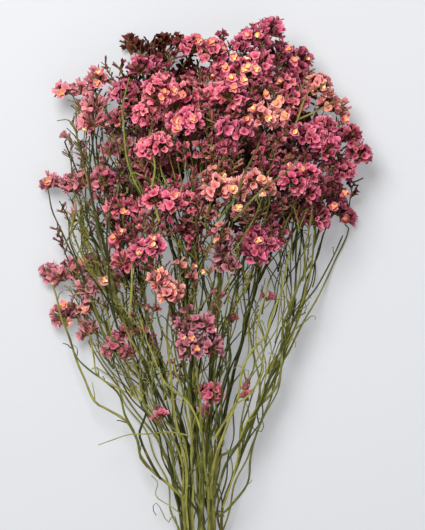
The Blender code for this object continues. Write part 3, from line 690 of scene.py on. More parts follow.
class StemField:
    """All stem points of the bunch in one array, with the rules that hold them apart."""

    def __init__(self, limbs: list[Limb], heads: list[Head]) -> None:
        """Gather the limbs' points and the heads' lobes.

        Args:
            limbs: every main stem and twig.
            heads: the settled heads.
        """
        self.limbs = limbs
        self.points = np.vstack([limb.points for limb in limbs])
        self.design = self.points.copy()
        self.start = np.cumsum([0] + [len(limb.points) for limb in limbs])
        sprays = list(SPRAYS)
        first, limb_of = [], []
        for index, limb in enumerate(limbs):
            first += range(self.start[index], self.start[index + 1] - 1)
            limb_of += [index] * (len(limb.points) - 1)
        self.first = np.array(first)
        self.spray_of = np.array([sprays.index(limbs[index].spray) for index in limb_of])
        radii = np.concatenate([limb.radii for limb in limbs])
        self.radii = radii
        self.thick = np.maximum(radii[self.first], radii[self.first + 1])
        last = self.start[1:] - 2
        self.fixed = np.zeros(len(self.points), bool)
        for index, limb in enumerate(limbs):
            if limb.bud:
                self.thick[self.first == last[index]] = limb.bud * 0.6
            self.fixed[self.start[index]] = True
            self.fixed[self.start[index + 1] - 2:self.start[index + 1]] = limb.head >= 0
        spans = list(zip(self.start[:-1], self.start[1:]))
        self.inner = np.array([row for first, end in spans for row in range(first + 1, end - 1)])
        self.lobes = np.vstack([head.centres for head in heads])
        self.lobe_radii = np.concatenate([head.radii for head in heads])
        owner = np.concatenate([[index] * len(head.radii) for index, head in enumerate(heads)])
        target = np.array([limbs[index].head for index in limb_of])
        seat_lobe = np.concatenate([[True] + [False] * (len(head.radii) - 1) for head in heads])
        last_run = np.isin(self.first, last)
        own = target[:, None] == owner[None, :]
        self.blocked = ~own | (~seat_lobe[None, :] & ~last_run[:, None])
        rows, columns = np.triu_indices(len(self.first), 1)
        foreign = self.spray_of[rows] != self.spray_of[columns]
        self.rows, self.columns = rows[foreign], columns[foreign]

    def spread_move(self, move: np.ndarray, count: np.ndarray, segments: np.ndarray,
                    share: np.ndarray, push: np.ndarray) -> None:
        """Share out a segment's push between its two end points.

        Args:
            move: the summed moves of all points.
            count: how many pushes each point has had.
            segments: the segments that are pushed.
            share: how far along each segment the push acts.
            push: the pushes.
        """
        lever = (1.0 - share) ** 2 + share**2
        for offset, weight in ((0, (1.0 - share) / lever), (1, share / lever)):
            np.add.at(move, self.first[segments] + offset, push * weight[:, None])
            np.add.at(count, self.first[segments] + offset, weight)

    def step(self, smoothing: float) -> None:
        """Move every free point one step away from what it meets.

        Args:
            smoothing: how strongly a point follows its neighbours.
        """
        points = self.points
        move = np.zeros_like(points)
        count = np.zeros(len(points))
        a, b = points[self.first], points[self.first + 1]
        middle, half = (a + b) / 2, np.linalg.norm(b - a, axis=1) / 2
        reach = half + self.thick + GAP
        near = np.linalg.norm(middle[self.rows] - middle[self.columns], axis=1)
        near = near < reach[self.rows] + reach[self.columns]
        i, j = self.rows[near], self.columns[near]
        s, t = closest_shares(a[i], b[i], a[j], b[j])
        offset = (a[i] + (b[i] - a[i]) * s[:, None]) - (a[j] + (b[j] - a[j]) * t[:, None])
        distance = np.linalg.norm(offset, axis=1) + 1e-9
        lack = self.thick[i] + self.thick[j] + STEM_GAP - distance
        hit = lack > 0
        push = offset[hit] / distance[hit, None] * lack[hit, None] * 0.5
        self.spread_move(move, count, i[hit], s[hit], push)
        self.spread_move(move, count, j[hit], t[hit], -push)
        along = b - a
        share = ((self.lobes[None] - a[:, None]) * along[:, None]).sum(2) / (along**2).sum(1)[:, None]
        share = np.clip(share, 0, 1)
        offset = a[:, None] + along[:, None] * share[..., None] - self.lobes[None]
        distance = np.linalg.norm(offset, axis=2) + 1e-9
        lack = np.where(self.blocked, self.thick[:, None] + self.lobe_radii[None] + GAP - distance, 0.0)
        i, j = np.nonzero(lack > 0)
        push = offset[i, j] / distance[i, j, None] * lack[i, j, None]
        self.spread_move(move, count, i, share[i, j], push)
        move /= np.maximum(count, 1.0)[:, None]
        bend = points - self.design
        move[self.inner] += smoothing * ((bend[self.inner - 1] + bend[self.inner + 1]) / 2 - bend[self.inner])
        move[self.fixed] = 0.0
        points += move
        points[:, 2] = np.maximum(points[:, 2], self.radii)
        for index, limb in enumerate(self.limbs):
            if limb.parent >= 0:
                points[self.start[index]] = points[self.start[limb.parent] + limb.parent_point]

    def settle(self) -> None:
        """Run the passes, first with smoothing and then without, and hand the points back."""
        for number in range(STEM_PASSES):
            self.step(0.25 if number < STEM_PASSES - FREE_PASSES else 0.0)
        for index, limb in enumerate(self.limbs):
            limb.points = self.points[self.start[index]:self.start[index + 1]]


@dataclass
class Template:
    """A shape that is modelled once and copied: its points, faces and flat coordinates."""

    points: np.ndarray
    corners: np.ndarray
    sides: np.ndarray
    sheet: np.ndarray

    @classmethod
    def take(cls, body: bpy.types.Object, rows: np.ndarray | None = None) -> "Template":
        """Read a modelled object and remove it.

        Args:
            body: the object, whose axis is Z.
            rows: how far along the shape each point is, or nothing for its height.

        Returns:
            The template.
        """
        mesh = body.data
        points = np.array([vertex.co for vertex in mesh.vertices])
        corners = np.array([loop.vertex_index for loop in mesh.loops])
        sides = np.array([polygon.loop_total for polygon in mesh.polygons])
        along = points[:, 2] if rows is None else rows
        around = np.arctan2(points[:, 1], points[:, 0]) / (2 * math.pi) % 1.0
        on_axis = np.hypot(points[:, 0], points[:, 1]) < 1e-5
        sheet = np.stack([around[corners], along[corners]], axis=1)
        start = 0
        for total in sides:
            span = slice(start, start + total)
            middle = on_axis[corners[span]]
            turn = sheet[span, 0]
            if turn[~middle].max() - turn[~middle].min() > 0.5:
                turn[(turn < 0.5) & ~middle] += 1.0
            turn[middle] = turn[~middle].mean()
            start += total
        bpy.data.objects.remove(body)
        bpy.data.meshes.remove(mesh)
        return cls(points, corners, sides, sheet)


class Modeller:
    """Drives the edit-mode operators that give a template its form."""

    @staticmethod
    def start_ring(sides: int, radius: float) -> bpy.types.Object:
        """Start a shape from a filled ring at the origin, with its edge selected in edit mode.

        Args:
            sides: how many points the ring has.
            radius: its radius.

        Returns:
            The object, in edit mode.
        """
        if bpy.context.selected_objects:
            bpy.ops.object.select_all(action="DESELECT")
        bpy.ops.mesh.primitive_circle_add(vertices=sides, radius=radius, fill_type="TRIFAN")
        body = bpy.context.active_object
        bpy.ops.object.mode_set(mode="EDIT")
        bpy.ops.mesh.select_mode(type="EDGE")
        bpy.ops.mesh.select_all(action="DESELECT")
        bpy.ops.mesh.select_non_manifold()
        return body

    @staticmethod
    def extrude_ring(rise: float, spread: float) -> None:
        """Extrude the selected ring along the axis and then widen it.

        Args:
            rise: how far it moves along Z.
            spread: how many times wider it gets.
        """
        bpy.ops.mesh.extrude_edges_move(TRANSFORM_OT_translate={"value": (0.0, 0.0, rise)})
        bpy.ops.transform.resize(value=(spread, spread, 1.0), center_override=(0.0, 0.0, 0.0))

    @staticmethod
    def close_ring(rise: float) -> None:
        """Close the selected ring with a fan around one point.

        Args:
            rise: how far the point moves along Z from the ring.
        """
        bpy.ops.mesh.edge_face_add()
        bpy.ops.mesh.poke()
        bpy.ops.mesh.select_mode(type="VERT")
        bpy.ops.mesh.select_less()
        bpy.ops.transform.translate(value=(0.0, 0.0, rise))

    @staticmethod
    def end(body: bpy.types.Object) -> None:
        """Turn every face outwards and leave edit mode."""
        bpy.ops.mesh.select_all(action="SELECT")
        bpy.ops.mesh.normals_make_consistent(inside=False)
        bpy.ops.object.mode_set(mode="OBJECT")
        body.data.update()

    @staticmethod
    def shape_points(body: bpy.types.Object, chosen: list[int], spread: float, rise: float) -> None:
        """Move some points of an object nearer to or farther from its axis, and along it.

        Args:
            body: the object, in object mode.
            chosen: the points' numbers.
            spread: how many times farther from the axis they get.
            rise: how far they move along Z.
        """
        bpy.ops.object.mode_set(mode="EDIT")
        bpy.ops.mesh.select_mode(type="VERT")
        bpy.ops.mesh.select_all(action="DESELECT")
        bpy.ops.object.mode_set(mode="OBJECT")
        for number in chosen:
            body.data.vertices[number].select = True
        bpy.ops.object.mode_set(mode="EDIT")
        bpy.ops.transform.resize(value=(spread, spread, 1.0), center_override=(0.0, 0.0, 0.0))
        bpy.ops.transform.translate(value=(0.0, 0.0, rise))
        bpy.ops.object.mode_set(mode="OBJECT")


@dataclass(frozen=True)
class CalyxShape:
    """A pleated funnel of unit length and unit rim radius, with a thin double sheet.

    Attributes:
        middle: the radius where the sheet flares out.
        middle_rise: the height there.
        rim_rise: the height of the rim.
        pleat: how far the valleys draw in, as a share.
        jag: how far the points of the rim stand up.
    """

    COLUMNS = 7

    middle: float
    middle_rise: float
    rim_rise: float
    pleat: float
    jag: float

    def model(self) -> Template:
        """Model the funnel and return it."""
        body = Modeller.start_ring(2 * self.COLUMNS, self.middle)
        Modeller.extrude_ring(self.rim_rise - self.middle_rise, 1.0 / self.middle)
        Modeller.extrude_ring(self.middle_rise + 0.06 - self.rim_rise, self.middle * 0.85)
        Modeller.close_ring(-0.3)
        Modeller.end(body)
        points = np.array([vertex.co for vertex in body.data.vertices])
        distance = np.hypot(points[:, 0], points[:, 1])
        column = np.rint(np.arctan2(points[:, 1], points[:, 0]) / (math.pi / self.COLUMNS)).astype(int)
        rim = distance > 0.99
        valley = column % 2 == 1
        on_axis = distance < 1e-4
        base = on_axis & (points[:, 2] > -0.01)
        Modeller.shape_points(body, list(np.nonzero(base)[0]), 1.0, -self.middle_rise)
        Modeller.shape_points(body, list(np.nonzero(rim & valley)[0]), 1.0 - self.pleat, -self.jag)
        Modeller.shape_points(body, list(np.nonzero(~rim & ~on_axis & valley)[0]), 1.0 - 0.6 * self.pleat, 0.03)
        Modeller.shape_points(body, list(range(len(points))), 1.0, self.middle_rise)
        rows = np.where(rim, 1.0, np.where(on_axis, 0.1, 0.6))
        rows[base] = 0.0
        return Template.take(body, rows)


@dataclass(frozen=True)
class StarShape:
    """A ring that rises to pointed lobes: the small flower, or the scales round a floret's foot.

    Attributes:
        lobes: how many points it has.
        foot: the radius of its foot.
        waist: the radius where the lobes part.
        waist_rise: the height there.
        reach: the radius of the lobes' tips.
        reach_rise: the height of the tips.
        notch: the share of the reach that the notches keep.
        notch_drop: how far the notches lie below the tips.
    """

    lobes: int
    foot: float
    waist: float
    waist_rise: float
    reach: float
    reach_rise: float
    notch: float
    notch_drop: float

    def model(self) -> Template:
        """Model the star and return it."""
        body = Modeller.start_ring(2 * self.lobes, self.foot)
        Modeller.extrude_ring(self.waist_rise, self.waist / self.foot)
        Modeller.extrude_ring(self.reach_rise - self.waist_rise, self.reach / self.waist)
        Modeller.close_ring(self.waist_rise * 0.8 - self.reach_rise)
        Modeller.end(body)
        points = np.array([vertex.co for vertex in body.data.vertices])
        distance = np.hypot(points[:, 0], points[:, 1])
        column = np.rint(np.arctan2(points[:, 1], points[:, 0]) / (math.pi / self.lobes)).astype(int)
        tips = distance > self.reach * 0.99
        notches = list(np.nonzero(tips & (column % 2 == 1))[0])
        Modeller.shape_points(body, notches, self.notch, -self.notch_drop)
        rows = np.where(tips, 1.0, np.where(distance > self.foot * 1.01, 0.5, 0.0))
        return Template.take(body, rows)


@dataclass(frozen=True)
class RodShape:
    """A straight unit rod that stems are bent from, with low wings along it.

    Attributes:
        sides: how many sides it has.
        runs: how many lengths it is divided into.
        wings: every how many sides a wing stands, or 0.
        wing: how far a wing stands out, as a share of the radius.
    """

    sides: int
    runs: int
    wings: int = 0
    wing: float = 0.0

    def model(self) -> Template:
        """Model the rod and return it."""
        body = Modeller.start_ring(self.sides, 1.0)
        for _ in range(self.runs):
            Modeller.extrude_ring(1.0 / self.runs, 1.0)
        Modeller.close_ring(0.0)
        Modeller.end(body)
        if self.wings:
            points = np.array([vertex.co for vertex in body.data.vertices])
            column = np.rint(np.arctan2(points[:, 1], points[:, 0]) / (2 * math.pi / self.sides)).astype(int)
            outer = np.hypot(points[:, 0], points[:, 1]) > 0.5
            chosen = list(np.nonzero(outer & (column % self.wings == 0))[0])
            Modeller.shape_points(body, chosen, 1.0 + self.wing, 0.0)
        return Template.take(body)


class Pile:
    """Collects copies of templates into one mesh."""

    def __init__(self) -> None:
        """Start empty."""
        self.points: list[np.ndarray] = []
        self.corners: list[np.ndarray] = []
        self.sides: list[np.ndarray] = []
        self.sheets: list[np.ndarray] = []
        self.layers: list[np.ndarray] = []
        self.tints: list[np.ndarray] = []
        self.depths: list[np.ndarray] = []
        self.count = 0

    def add(self, template: Template, points: np.ndarray, tint: float, depth: float | np.ndarray,
            layer: int = 0, sheet: np.ndarray | None = None) -> None:
        """Add one copy.

        Args:
            template: the shape that is copied.
            points: where the copy's points lie, in millimetres.
            tint: the copy's lean in colour, from 0 to 1.
            depth: how far out of the shade it is, or how much of a joint it is, at each point or for all.
            layer: the number of its material.
            sheet: its flat coordinates, where they differ from the template's.
        """
        self.points.append(points)
        self.corners.append(template.corners + self.count)
        self.sides.append(template.sides)
        self.sheets.append(template.sheet if sheet is None else sheet)
        self.layers.append(np.full(len(template.sides), layer))
        self.tints.append(np.full(len(points), tint))
        self.depths.append(np.broadcast_to(depth, len(points)))
        self.count += len(points)

    def build(self, name: str, materials: list[bpy.types.Material]) -> bpy.types.Object:
        """Make the mesh object.

        Args:
            name: its name.
            materials: the materials of its layers.

        Returns:
            The object, at the origin.
        """
        points = (np.concatenate(self.points) + np.array(ORIGIN_SHIFT)) * MM
        points[:, 2] = np.maximum(points[:, 2], FLOOR_CLEARANCE * MM)
        corners = np.concatenate(self.corners)
        sides = np.concatenate(self.sides)
        mesh = bpy.data.meshes.new(name)
        mesh.vertices.add(len(points))
        mesh.vertices.foreach_set("co", points.ravel())
        mesh.loops.add(len(corners))
        mesh.loops.foreach_set("vertex_index", corners)
        mesh.polygons.add(len(sides))
        mesh.polygons.foreach_set("loop_start", np.concatenate([[0], np.cumsum(sides)[:-1]]))
        mesh.polygons.foreach_set("material_index", np.concatenate(self.layers))
        sheet = mesh.uv_layers.new(name="Sheet")
        mesh.update(calc_edges=True)
        sheet.data.foreach_set("uv", np.concatenate(self.sheets).ravel())
        for label, values in (("tint", self.tints), ("depth", self.depths)):
            numbers = mesh.attributes.new(label, "FLOAT", "POINT")
            numbers.data.foreach_set("value", np.concatenate(values))
        for material in materials:
            mesh.materials.append(material)
        mesh.validate()
        body = bpy.data.objects.new(name, mesh)
        bpy.context.scene.collection.objects.link(body)
        if bpy.context.selected_objects:
            bpy.ops.object.select_all(action="DESELECT")
        body.select_set(True)
        bpy.context.view_layer.objects.active = body
        bpy.ops.object.shade_smooth_by_angle(angle=math.radians(50))
        triangles = sum(sides) - 2 * len(sides)
        LOG.info("%s: %d triangles", name, triangles)
        return body


class Signal:
    """A shader value that can be written in sums: operators add Math nodes."""

    def __init__(self, graph: "Graph", socket: bpy.types.NodeSocket) -> None:
        """Wrap a socket.

        Args:
            graph: the material's nodes.
            socket: the output that carries the value.
        """
        self.graph = graph
        self.socket = socket

    def apply(self, operation: str, first: "Signal | float", second: "Signal | float | None" = None) -> "Signal":
        """Return the result of one Math node.

        Args:
            operation: the node's operation.
            first: its first value.
            second: its second value, where it has one.

        Returns:
            The wrapped result.
        """
        values = [first] if second is None else [first, second]
        node = self.graph.node("ShaderNodeMath", {"operation": operation}, dict(enumerate(values)))
        return Signal(self.graph, node.outputs[0])

    def __add__(self, other: "Signal | float") -> "Signal":
        """Add."""
        return self.apply("ADD", self, other)

    def __radd__(self, other: float) -> "Signal":
        """Add to a number."""
        return self.apply("ADD", other, self)

    def __sub__(self, other: "Signal | float") -> "Signal":
        """Subtract."""
        return self.apply("SUBTRACT", self, other)

    def __rsub__(self, other: float) -> "Signal":
        """Subtract from a number."""
        return self.apply("SUBTRACT", other, self)

    def __mul__(self, other: "Signal | float") -> "Signal":
        """Multiply."""
        return self.apply("MULTIPLY", self, other)

    def __rmul__(self, other: float) -> "Signal":
        """Multiply a number."""
        return self.apply("MULTIPLY", other, self)

    def __truediv__(self, other: "Signal | float") -> "Signal":
        """Divide."""
        return self.apply("DIVIDE", self, other)

    def __pow__(self, other: float) -> "Signal":
        """Raise to a power."""
        return self.apply("POWER", self, other)

    def __abs__(self) -> "Signal":
        """Drop the sign."""
        return self.apply("ABSOLUTE", self)

    def sine(self) -> "Signal":
        """Return the sine of an angle in radians."""
        return self.apply("SINE", self)

    def between(self, low: float, high: float) -> "Signal":
        """Return 0 below one level and 1 above another, with a smooth step between them.

        Args:
            low: the lower level.
            high: the upper level.

        Returns:
            The wrapped step.
        """
        settings = {"interpolation_type": "SMOOTHSTEP"}
        node = self.graph.node("ShaderNodeMapRange", settings, {0: self, 1: low, 2: high})
        return Signal(self.graph, node.outputs[0])


class Graph:
    """The nodes of one material."""

    def __init__(self, name: str) -> None:
        """Start a material that holds a Principled shader.

        Args:
            name: the material's name.
        """
        self.material = bpy.data.materials.new(name)
        self.material.use_nodes = True
        self.tree = self.material.node_tree
        self.shader = self.tree.nodes["Principled BSDF"]

    def node(self, kind: str, settings: dict | None = None, inputs: dict | None = None) -> bpy.types.Node:
        """Add a node.

        Args:
            kind: the node's type.
            settings: its properties, set first.
            inputs: values, wrapped values or output sockets by input name or number.

        Returns:
            The node.
        """
        node = self.tree.nodes.new(kind)
        for key, value in (settings or {}).items():
            setattr(node, key, value)
        for key, value in (inputs or {}).items():
            self.feed(node.inputs[key], value)
        return node

    def feed(self, socket: bpy.types.NodeSocket, value: object) -> None:
        """Give an input its value or its link.

        Args:
            socket: the input.
            value: a number, a tuple, a wrapped value or an output socket.
        """
        if isinstance(value, Signal):
            self.tree.links.new(value.socket, socket)
        elif isinstance(value, bpy.types.NodeSocket):
            self.tree.links.new(value, socket)
        else:
            socket.default_value = value

    def place(self) -> bpy.types.NodeSocket:
        """Return the place on the object, in metres."""
        return self.node("ShaderNodeTexCoord").outputs["Object"]

    def coordinate(self, axis: str) -> Signal:
        """Return one Object coordinate, in metres."""
        return Signal(self, self.node("ShaderNodeSeparateXYZ", inputs={"Vector": self.place()}).outputs[axis])

    def sheet(self) -> tuple[Signal, Signal]:
        """Return the two coordinates of the piece's UV map."""
        uv = self.node("ShaderNodeUVMap", {"uv_map": "Sheet"}).outputs[0]
        parts = self.node("ShaderNodeSeparateXYZ", None, {0: uv})
        return Signal(self, parts.outputs[0]), Signal(self, parts.outputs[1])

    def attribute(self, name: str) -> Signal:
        """Return a number that the mesh carries."""
        return Signal(self, self.node("ShaderNodeAttribute", {"attribute_name": name}).outputs["Fac"])

    def noise(self, scale: float, detail: float = 2.0, vector: bpy.types.NodeSocket | None = None) -> Signal:
        """Return soft noise from 0 to 1.

        Args:
            scale: how many features a metre holds.
            detail: how many finer layers it has.
            vector: where to read it, or nothing for the place on the object.

        Returns:
            The wrapped noise.
        """
        inputs = {"Vector": vector or self.place(), "Scale": scale, "Detail": detail}
        return Signal(self, self.node("ShaderNodeTexNoise", None, inputs).outputs["Fac"])

    def stretched(self, share: tuple[float, float, float]) -> bpy.types.NodeSocket:
        """Return the UV map's coordinates scaled along each axis."""
        uv = self.node("ShaderNodeUVMap", {"uv_map": "Sheet"}).outputs[0]
        return self.node("ShaderNodeVectorMath", {"operation": "MULTIPLY"}, {0: uv, 1: share}).outputs[0]

    def mix(self, factor: "Signal | float", low: object, high: object, blend: str = "MIX") -> bpy.types.NodeSocket:
        """Mix two colours.

        Args:
            factor: how much of the second one shows.
            low: the first colour, a tuple or a socket.
            high: the second colour, a tuple or a socket.
            blend: how they are mixed.

        Returns:
            The mixed colour.
        """
        settings = {"data_type": "RGBA", "blend_type": blend, "clamp_factor": True}
        return self.node("ShaderNodeMix", settings, {0: factor, 6: low, 7: high}).outputs[2]

    def grey(self, level: "Signal") -> bpy.types.NodeSocket:
        """Return a grey colour from a number."""
        return self.node("ShaderNodeCombineColor", None, {0: level, 1: level, 2: level}).outputs[0]

    def bump(self, height: Signal, strength: float, distance: float) -> bpy.types.NodeSocket:
        """Return a bumped normal.

        Args:
            height: the height from 0 to 1.
            strength: how strong the bump is.
            distance: its depth in metres.

        Returns:
            The normal.
        """
        inputs = {"Strength": strength, "Distance": distance, "Height": height}
        return self.node("ShaderNodeBump", None, inputs).outputs[0]

    def finish(self, colour: object, roughness: object, normal: object | None = None, **constants: object) -> bpy.types.Material:
        """Feed the shader and return the material.

        Args:
            colour: the base colour.
            roughness: the roughness.
            normal: the bumped normal, if there is one.
            constants: plain values of other inputs, by their names with spaces as underscores.

        Returns:
            The material.
        """
        self.feed(self.shader.inputs["Base Color"], colour)
        self.feed(self.shader.inputs["Roughness"], roughness)
        if normal is not None:
            self.feed(self.shader.inputs["Normal"], normal)
        for name, value in constants.items():
            self.shader.inputs[name.replace("_", " ")].default_value = value
        return self.material


def paint(red: float, green: float, blue: float) -> tuple[float, float, float, float]:
    """Return a shader colour from display values of 0 to 255."""
    shares = [level / 255.0 for level in (red, green, blue)]
    linear = [s / 12.92 if s <= 0.04045 else ((s + 0.055) / 1.055) ** 2.4 for s in shares]
    return (*linear, 1.0)


@dataclass(frozen=True)
class PetalFinish:
    """The papery calyx of one tone.

    Attributes:
        throat: the colour deep in the funnel.
        body: the colour of the sheet.
        rim: the colour of the dry edge.
        drift: what some florets lean towards.
        veins: how dark the pleats' veins are, from 0 to 1.
    """

    throat: tuple[float, float, float, float]
    body: tuple[float, float, float, float]
    rim: tuple[float, float, float, float]
    drift: tuple[float, float, float, float]
    veins: float = 0.45
    dust: tuple[float, float, float, float] = paint(218, 156, 152)

    def material(self, name: str) -> bpy.types.Material:
        """Return the petal material: throat to rim, veins along the pleats and dry flecks, with painted shade on deep
        and low florets and painted light on the right side.
        """
        graph = Graph(name)
        around, along = graph.sheet()
        tint = graph.attribute("tint")
        depth = graph.attribute("depth")
        fleck = graph.noise(420.0, 3.0)
        patch = graph.noise(55.0, 2.0)
        body = graph.mix((tint + patch * 0.6 - 0.3).between(0.45, 1.0), self.body, self.drift)
        colour = graph.mix(along.between(0.15, 0.75), self.throat, body)
        edge = (along + fleck * 0.5 - 0.25).between(0.75, 1.1)
        colour = graph.mix(edge * (0.25 + patch * 0.6), colour, self.rim)
        pleat = abs((around * (math.pi * CalyxShape.COLUMNS)).sine()) ** 4.0
        vein = abs((around * (math.pi * CalyxShape.COLUMNS * 2)).sine()) ** 8.0
        lines = (pleat * 0.7 + vein * 0.5) * along.between(0.1, 0.5) * self.veins
        colour = graph.mix(lines, colour, self.throat)
        # Painted shade: florets with a low depth, deep in a head or low in the bunch, turn towards the dark throat
        # colour.
        colour = graph.mix((1.0 - depth) * 0.5, colour, self.throat)
        left = 1.0 - graph.coordinate("X").between(-0.090, -0.050)
        low = 1.0 - graph.coordinate("Y").between(0.040, 0.110)
        colour = graph.mix((left * 0.7 + low * 0.2 + patch * 0.4 - 0.2).between(0.0, 1.0) * 0.55, colour, self.dust)
        # Painted shade: florets with a low depth come out darker. Flecks, tints and grain add random tone.
        shade = 0.06 + fleck * 0.34 + depth * 0.48 + tint * 0.12 + graph.noise(1500.0, 2.0) * 0.16
        # Painted shade: florets lower in the bunch (low Z) are darker and higher ones lighter.
        shade = shade + graph.coordinate("Z").between(0.02, 0.09) * 0.26
        # Painted light: florets towards the right side (X) are lighter, as if that side caught the light. Those on
        # the left are a little paler too.
        shade = shade + graph.coordinate("X").between(0.040, 0.090) * 0.16 + left * 0.14
        colour = graph.mix(1.0, colour, graph.grey(shade), "MULTIPLY")
        crinkle = graph.noise(1100.0, 3.0) * 0.7 + pleat * 0.5
        normal = graph.bump(crinkle, 0.55, 0.0006)
        return graph.finish(colour, 0.7 + fleck * 0.3, normal, Specular_IOR_Level=0.05)


@dataclass(frozen=True)
class CorollaFinish:
    """The small five-lobed flowers, yellow or orange by their tint."""

    yellow: tuple[float, float, float, float] = paint(252, 222, 146)
    orange: tuple[float, float, float, float] = paint(248, 184, 132)
    heart: tuple[float, float, float, float] = paint(234, 156, 84)

    def material(self, name: str) -> bpy.types.Material:
        """Return the corolla material: a darker heart and lobes that vary from yellow to orange."""
        graph = Graph(name)
        around, along = graph.sheet()
        petal = graph.mix(graph.attribute("tint").between(0.35, 0.75), self.yellow, self.orange)
        streak = abs((around * (math.pi * 10)).sine()) ** 3.0
        colour = graph.mix(along.between(0.1, 0.5), self.heart, petal)
        colour = graph.mix(streak * 0.25, colour, self.orange)
        grain = graph.noise(1400.0, 2.0)
        colour = graph.mix(1.0, colour, graph.grey(0.85 + grain * 0.3), "MULTIPLY")
        return graph.finish(colour, 0.55 + grain * 0.2, graph.bump(grain, 0.4, 0.0004))


@dataclass(frozen=True)
class BractFinish:
    """The dry scales that hold each floret, green at the foot and brown at the tip."""

    green: tuple[float, float, float, float] = paint(118, 120, 56)
    brown: tuple[float, float, float, float] = paint(108, 70, 46)
    straw: tuple[float, float, float, float] = paint(196, 176, 120)

    def material(self, name: str) -> bpy.types.Material:
        """Return the bract material."""
        graph = Graph(name)
        around, along = graph.sheet()
        tint = graph.attribute("tint")
        fleck = graph.noise(700.0, 3.0)
        colour = graph.mix((along * 0.8 + tint * 0.5 + fleck * 0.3).between(0.4, 1.1), self.green, self.brown)
        keel = abs((around * (math.pi * 3)).sine()) ** 5.0
        colour = graph.mix(keel * 0.55 + fleck.between(0.6, 0.8) * 0.3, colour, self.straw)
        normal = graph.bump(fleck + keel * 0.5, 0.5, 0.0005)
        return graph.finish(colour, 0.75 + fleck * 0.2, normal, Specular_IOR_Level=0.08)


@dataclass(frozen=True)
class StemFinish:
    """The dried green stems: olive streaks, yellower young twigs and pale joints."""

    olive: tuple[float, float, float, float] = paint(90, 95, 42)
    young: tuple[float, float, float, float] = paint(164, 160, 80)
    dark: tuple[float, float, float, float] = paint(38, 42, 22)
    pale: tuple[float, float, float, float] = paint(170, 166, 104)
    brown: tuple[float, float, float, float] = paint(98, 74, 44)

    def material(self, name: str) -> bpy.types.Material:
        """Return the stem material: long streaks and ribs, browned patches and pale joints, with painted shade on the
        stems under the crown.
        """
        graph = Graph(name)
        around, along = graph.sheet()
        tint = graph.attribute("tint")
        joint = graph.attribute("depth")
        streak = graph.noise(1.0, 3.0, graph.stretched((9.0, 0.12, 1.0)))
        patch = graph.noise(38.0, 3.0)
        colour = graph.mix(tint.between(0.2, 0.9), self.olive, self.young)
        colour = graph.mix((1.0 - tint.between(0.08, 0.34)) * 0.8, colour, self.dark)
        # Painted shade: stems under the crown (Y above about 50 mm, low Z) are darkened.
        inside = graph.coordinate("Y").between(0.05, 0.12) * (1.0 - graph.coordinate("Z").between(0.03, 0.075))
        colour = graph.mix(inside * 0.6, colour, self.dark)
        colour = graph.mix(streak.between(0.42, 0.72) * 0.75, colour, self.dark)
        colour = graph.mix(patch.between(0.56, 0.74) * 0.6, colour, self.brown)
        colour = graph.mix((joint + streak * 0.3 - 0.15).between(0.2, 0.95) * 0.28, colour, self.pale)
        rib = abs((around * (math.pi * 6)).sine())
        grain = graph.noise(900.0, 2.0)
        colour = graph.mix(1.0, colour, graph.grey(0.78 + rib * 0.22 + grain * 0.2), "MULTIPLY")
        normal = graph.bump(rib * 0.6 + streak * 0.6 + grain * 0.3, 0.5, 0.0005)
        return graph.finish(colour, 0.6 + grain * 0.3, normal, Specular_IOR_Level=0.15)


@dataclass(frozen=True)
class FloorFinish:
    """The pale surface that the bunch lies on."""

    light: tuple[float, float, float, float] = paint(178, 179, 181)
    shade: tuple[float, float, float, float] = paint(172, 173, 176)

    def material(self, name: str) -> bpy.types.Material:
        """Return the floor material: a soft, faintly mottled white that glows a little, a painted light that lifts
        the shadows on it.
        """
        graph = Graph(name)
        cloud = graph.noise(2.2, 1.0)
        grain = graph.noise(240.0, 2.0)
        colour = graph.mix(cloud * 0.7 + grain * 0.3, self.light, self.shade)
        # Painted light: the floor glows evenly, which lifts the shadows that the bunch casts on it.
        return graph.finish(colour, 0.85 + grain * 0.1, graph.bump(grain, 0.08, 0.0003),
                            Emission_Color=self.light, Emission_Strength=0.54)


PETALS = {
    Tone.CORAL: PetalFinish(paint(112, 18, 32), paint(226, 106, 132), paint(242, 188, 196), paint(230, 130, 134)),
    Tone.ROSE: PetalFinish(paint(106, 20, 38), paint(214, 100, 130), paint(238, 182, 194), paint(198, 96, 112)),
    Tone.SALMON: PetalFinish(paint(138, 44, 48), paint(234, 146, 144), paint(248, 208, 200), paint(238, 164, 140)),
    Tone.MAUVE: PetalFinish(paint(92, 26, 42), paint(196, 112, 130), paint(234, 188, 194), paint(164, 110, 104)),
    Tone.PLUM: PetalFinish(paint(56, 8, 20), paint(136, 46, 66), paint(184, 96, 108), paint(104, 46, 50)),
    Tone.BROWN: PetalFinish(paint(50, 20, 18), paint(120, 58, 50), paint(164, 102, 86), paint(94, 64, 42)),
}


def frame_of(way: np.ndarray, roll: float = 0.0) -> np.ndarray:
    """Return a turn matrix whose third row is the given direction.

    Args:
        way: the direction that the copy's axis takes.
        roll: the turn about it, in radians.

    Returns:
        Three rows: the copy's X, Y and Z directions.
    """
    third = unit(way)
    lean = np.array((0.0, 0.0, 1.0)) if abs(third[2]) < 0.9 else np.array((1.0, 0.0, 0.0))
    first = unit(np.cross(third, lean))
    second = np.cross(third, first)
    turned = math.cos(roll) * first + math.sin(roll) * second
    return np.stack([turned, np.cross(third, turned), third])


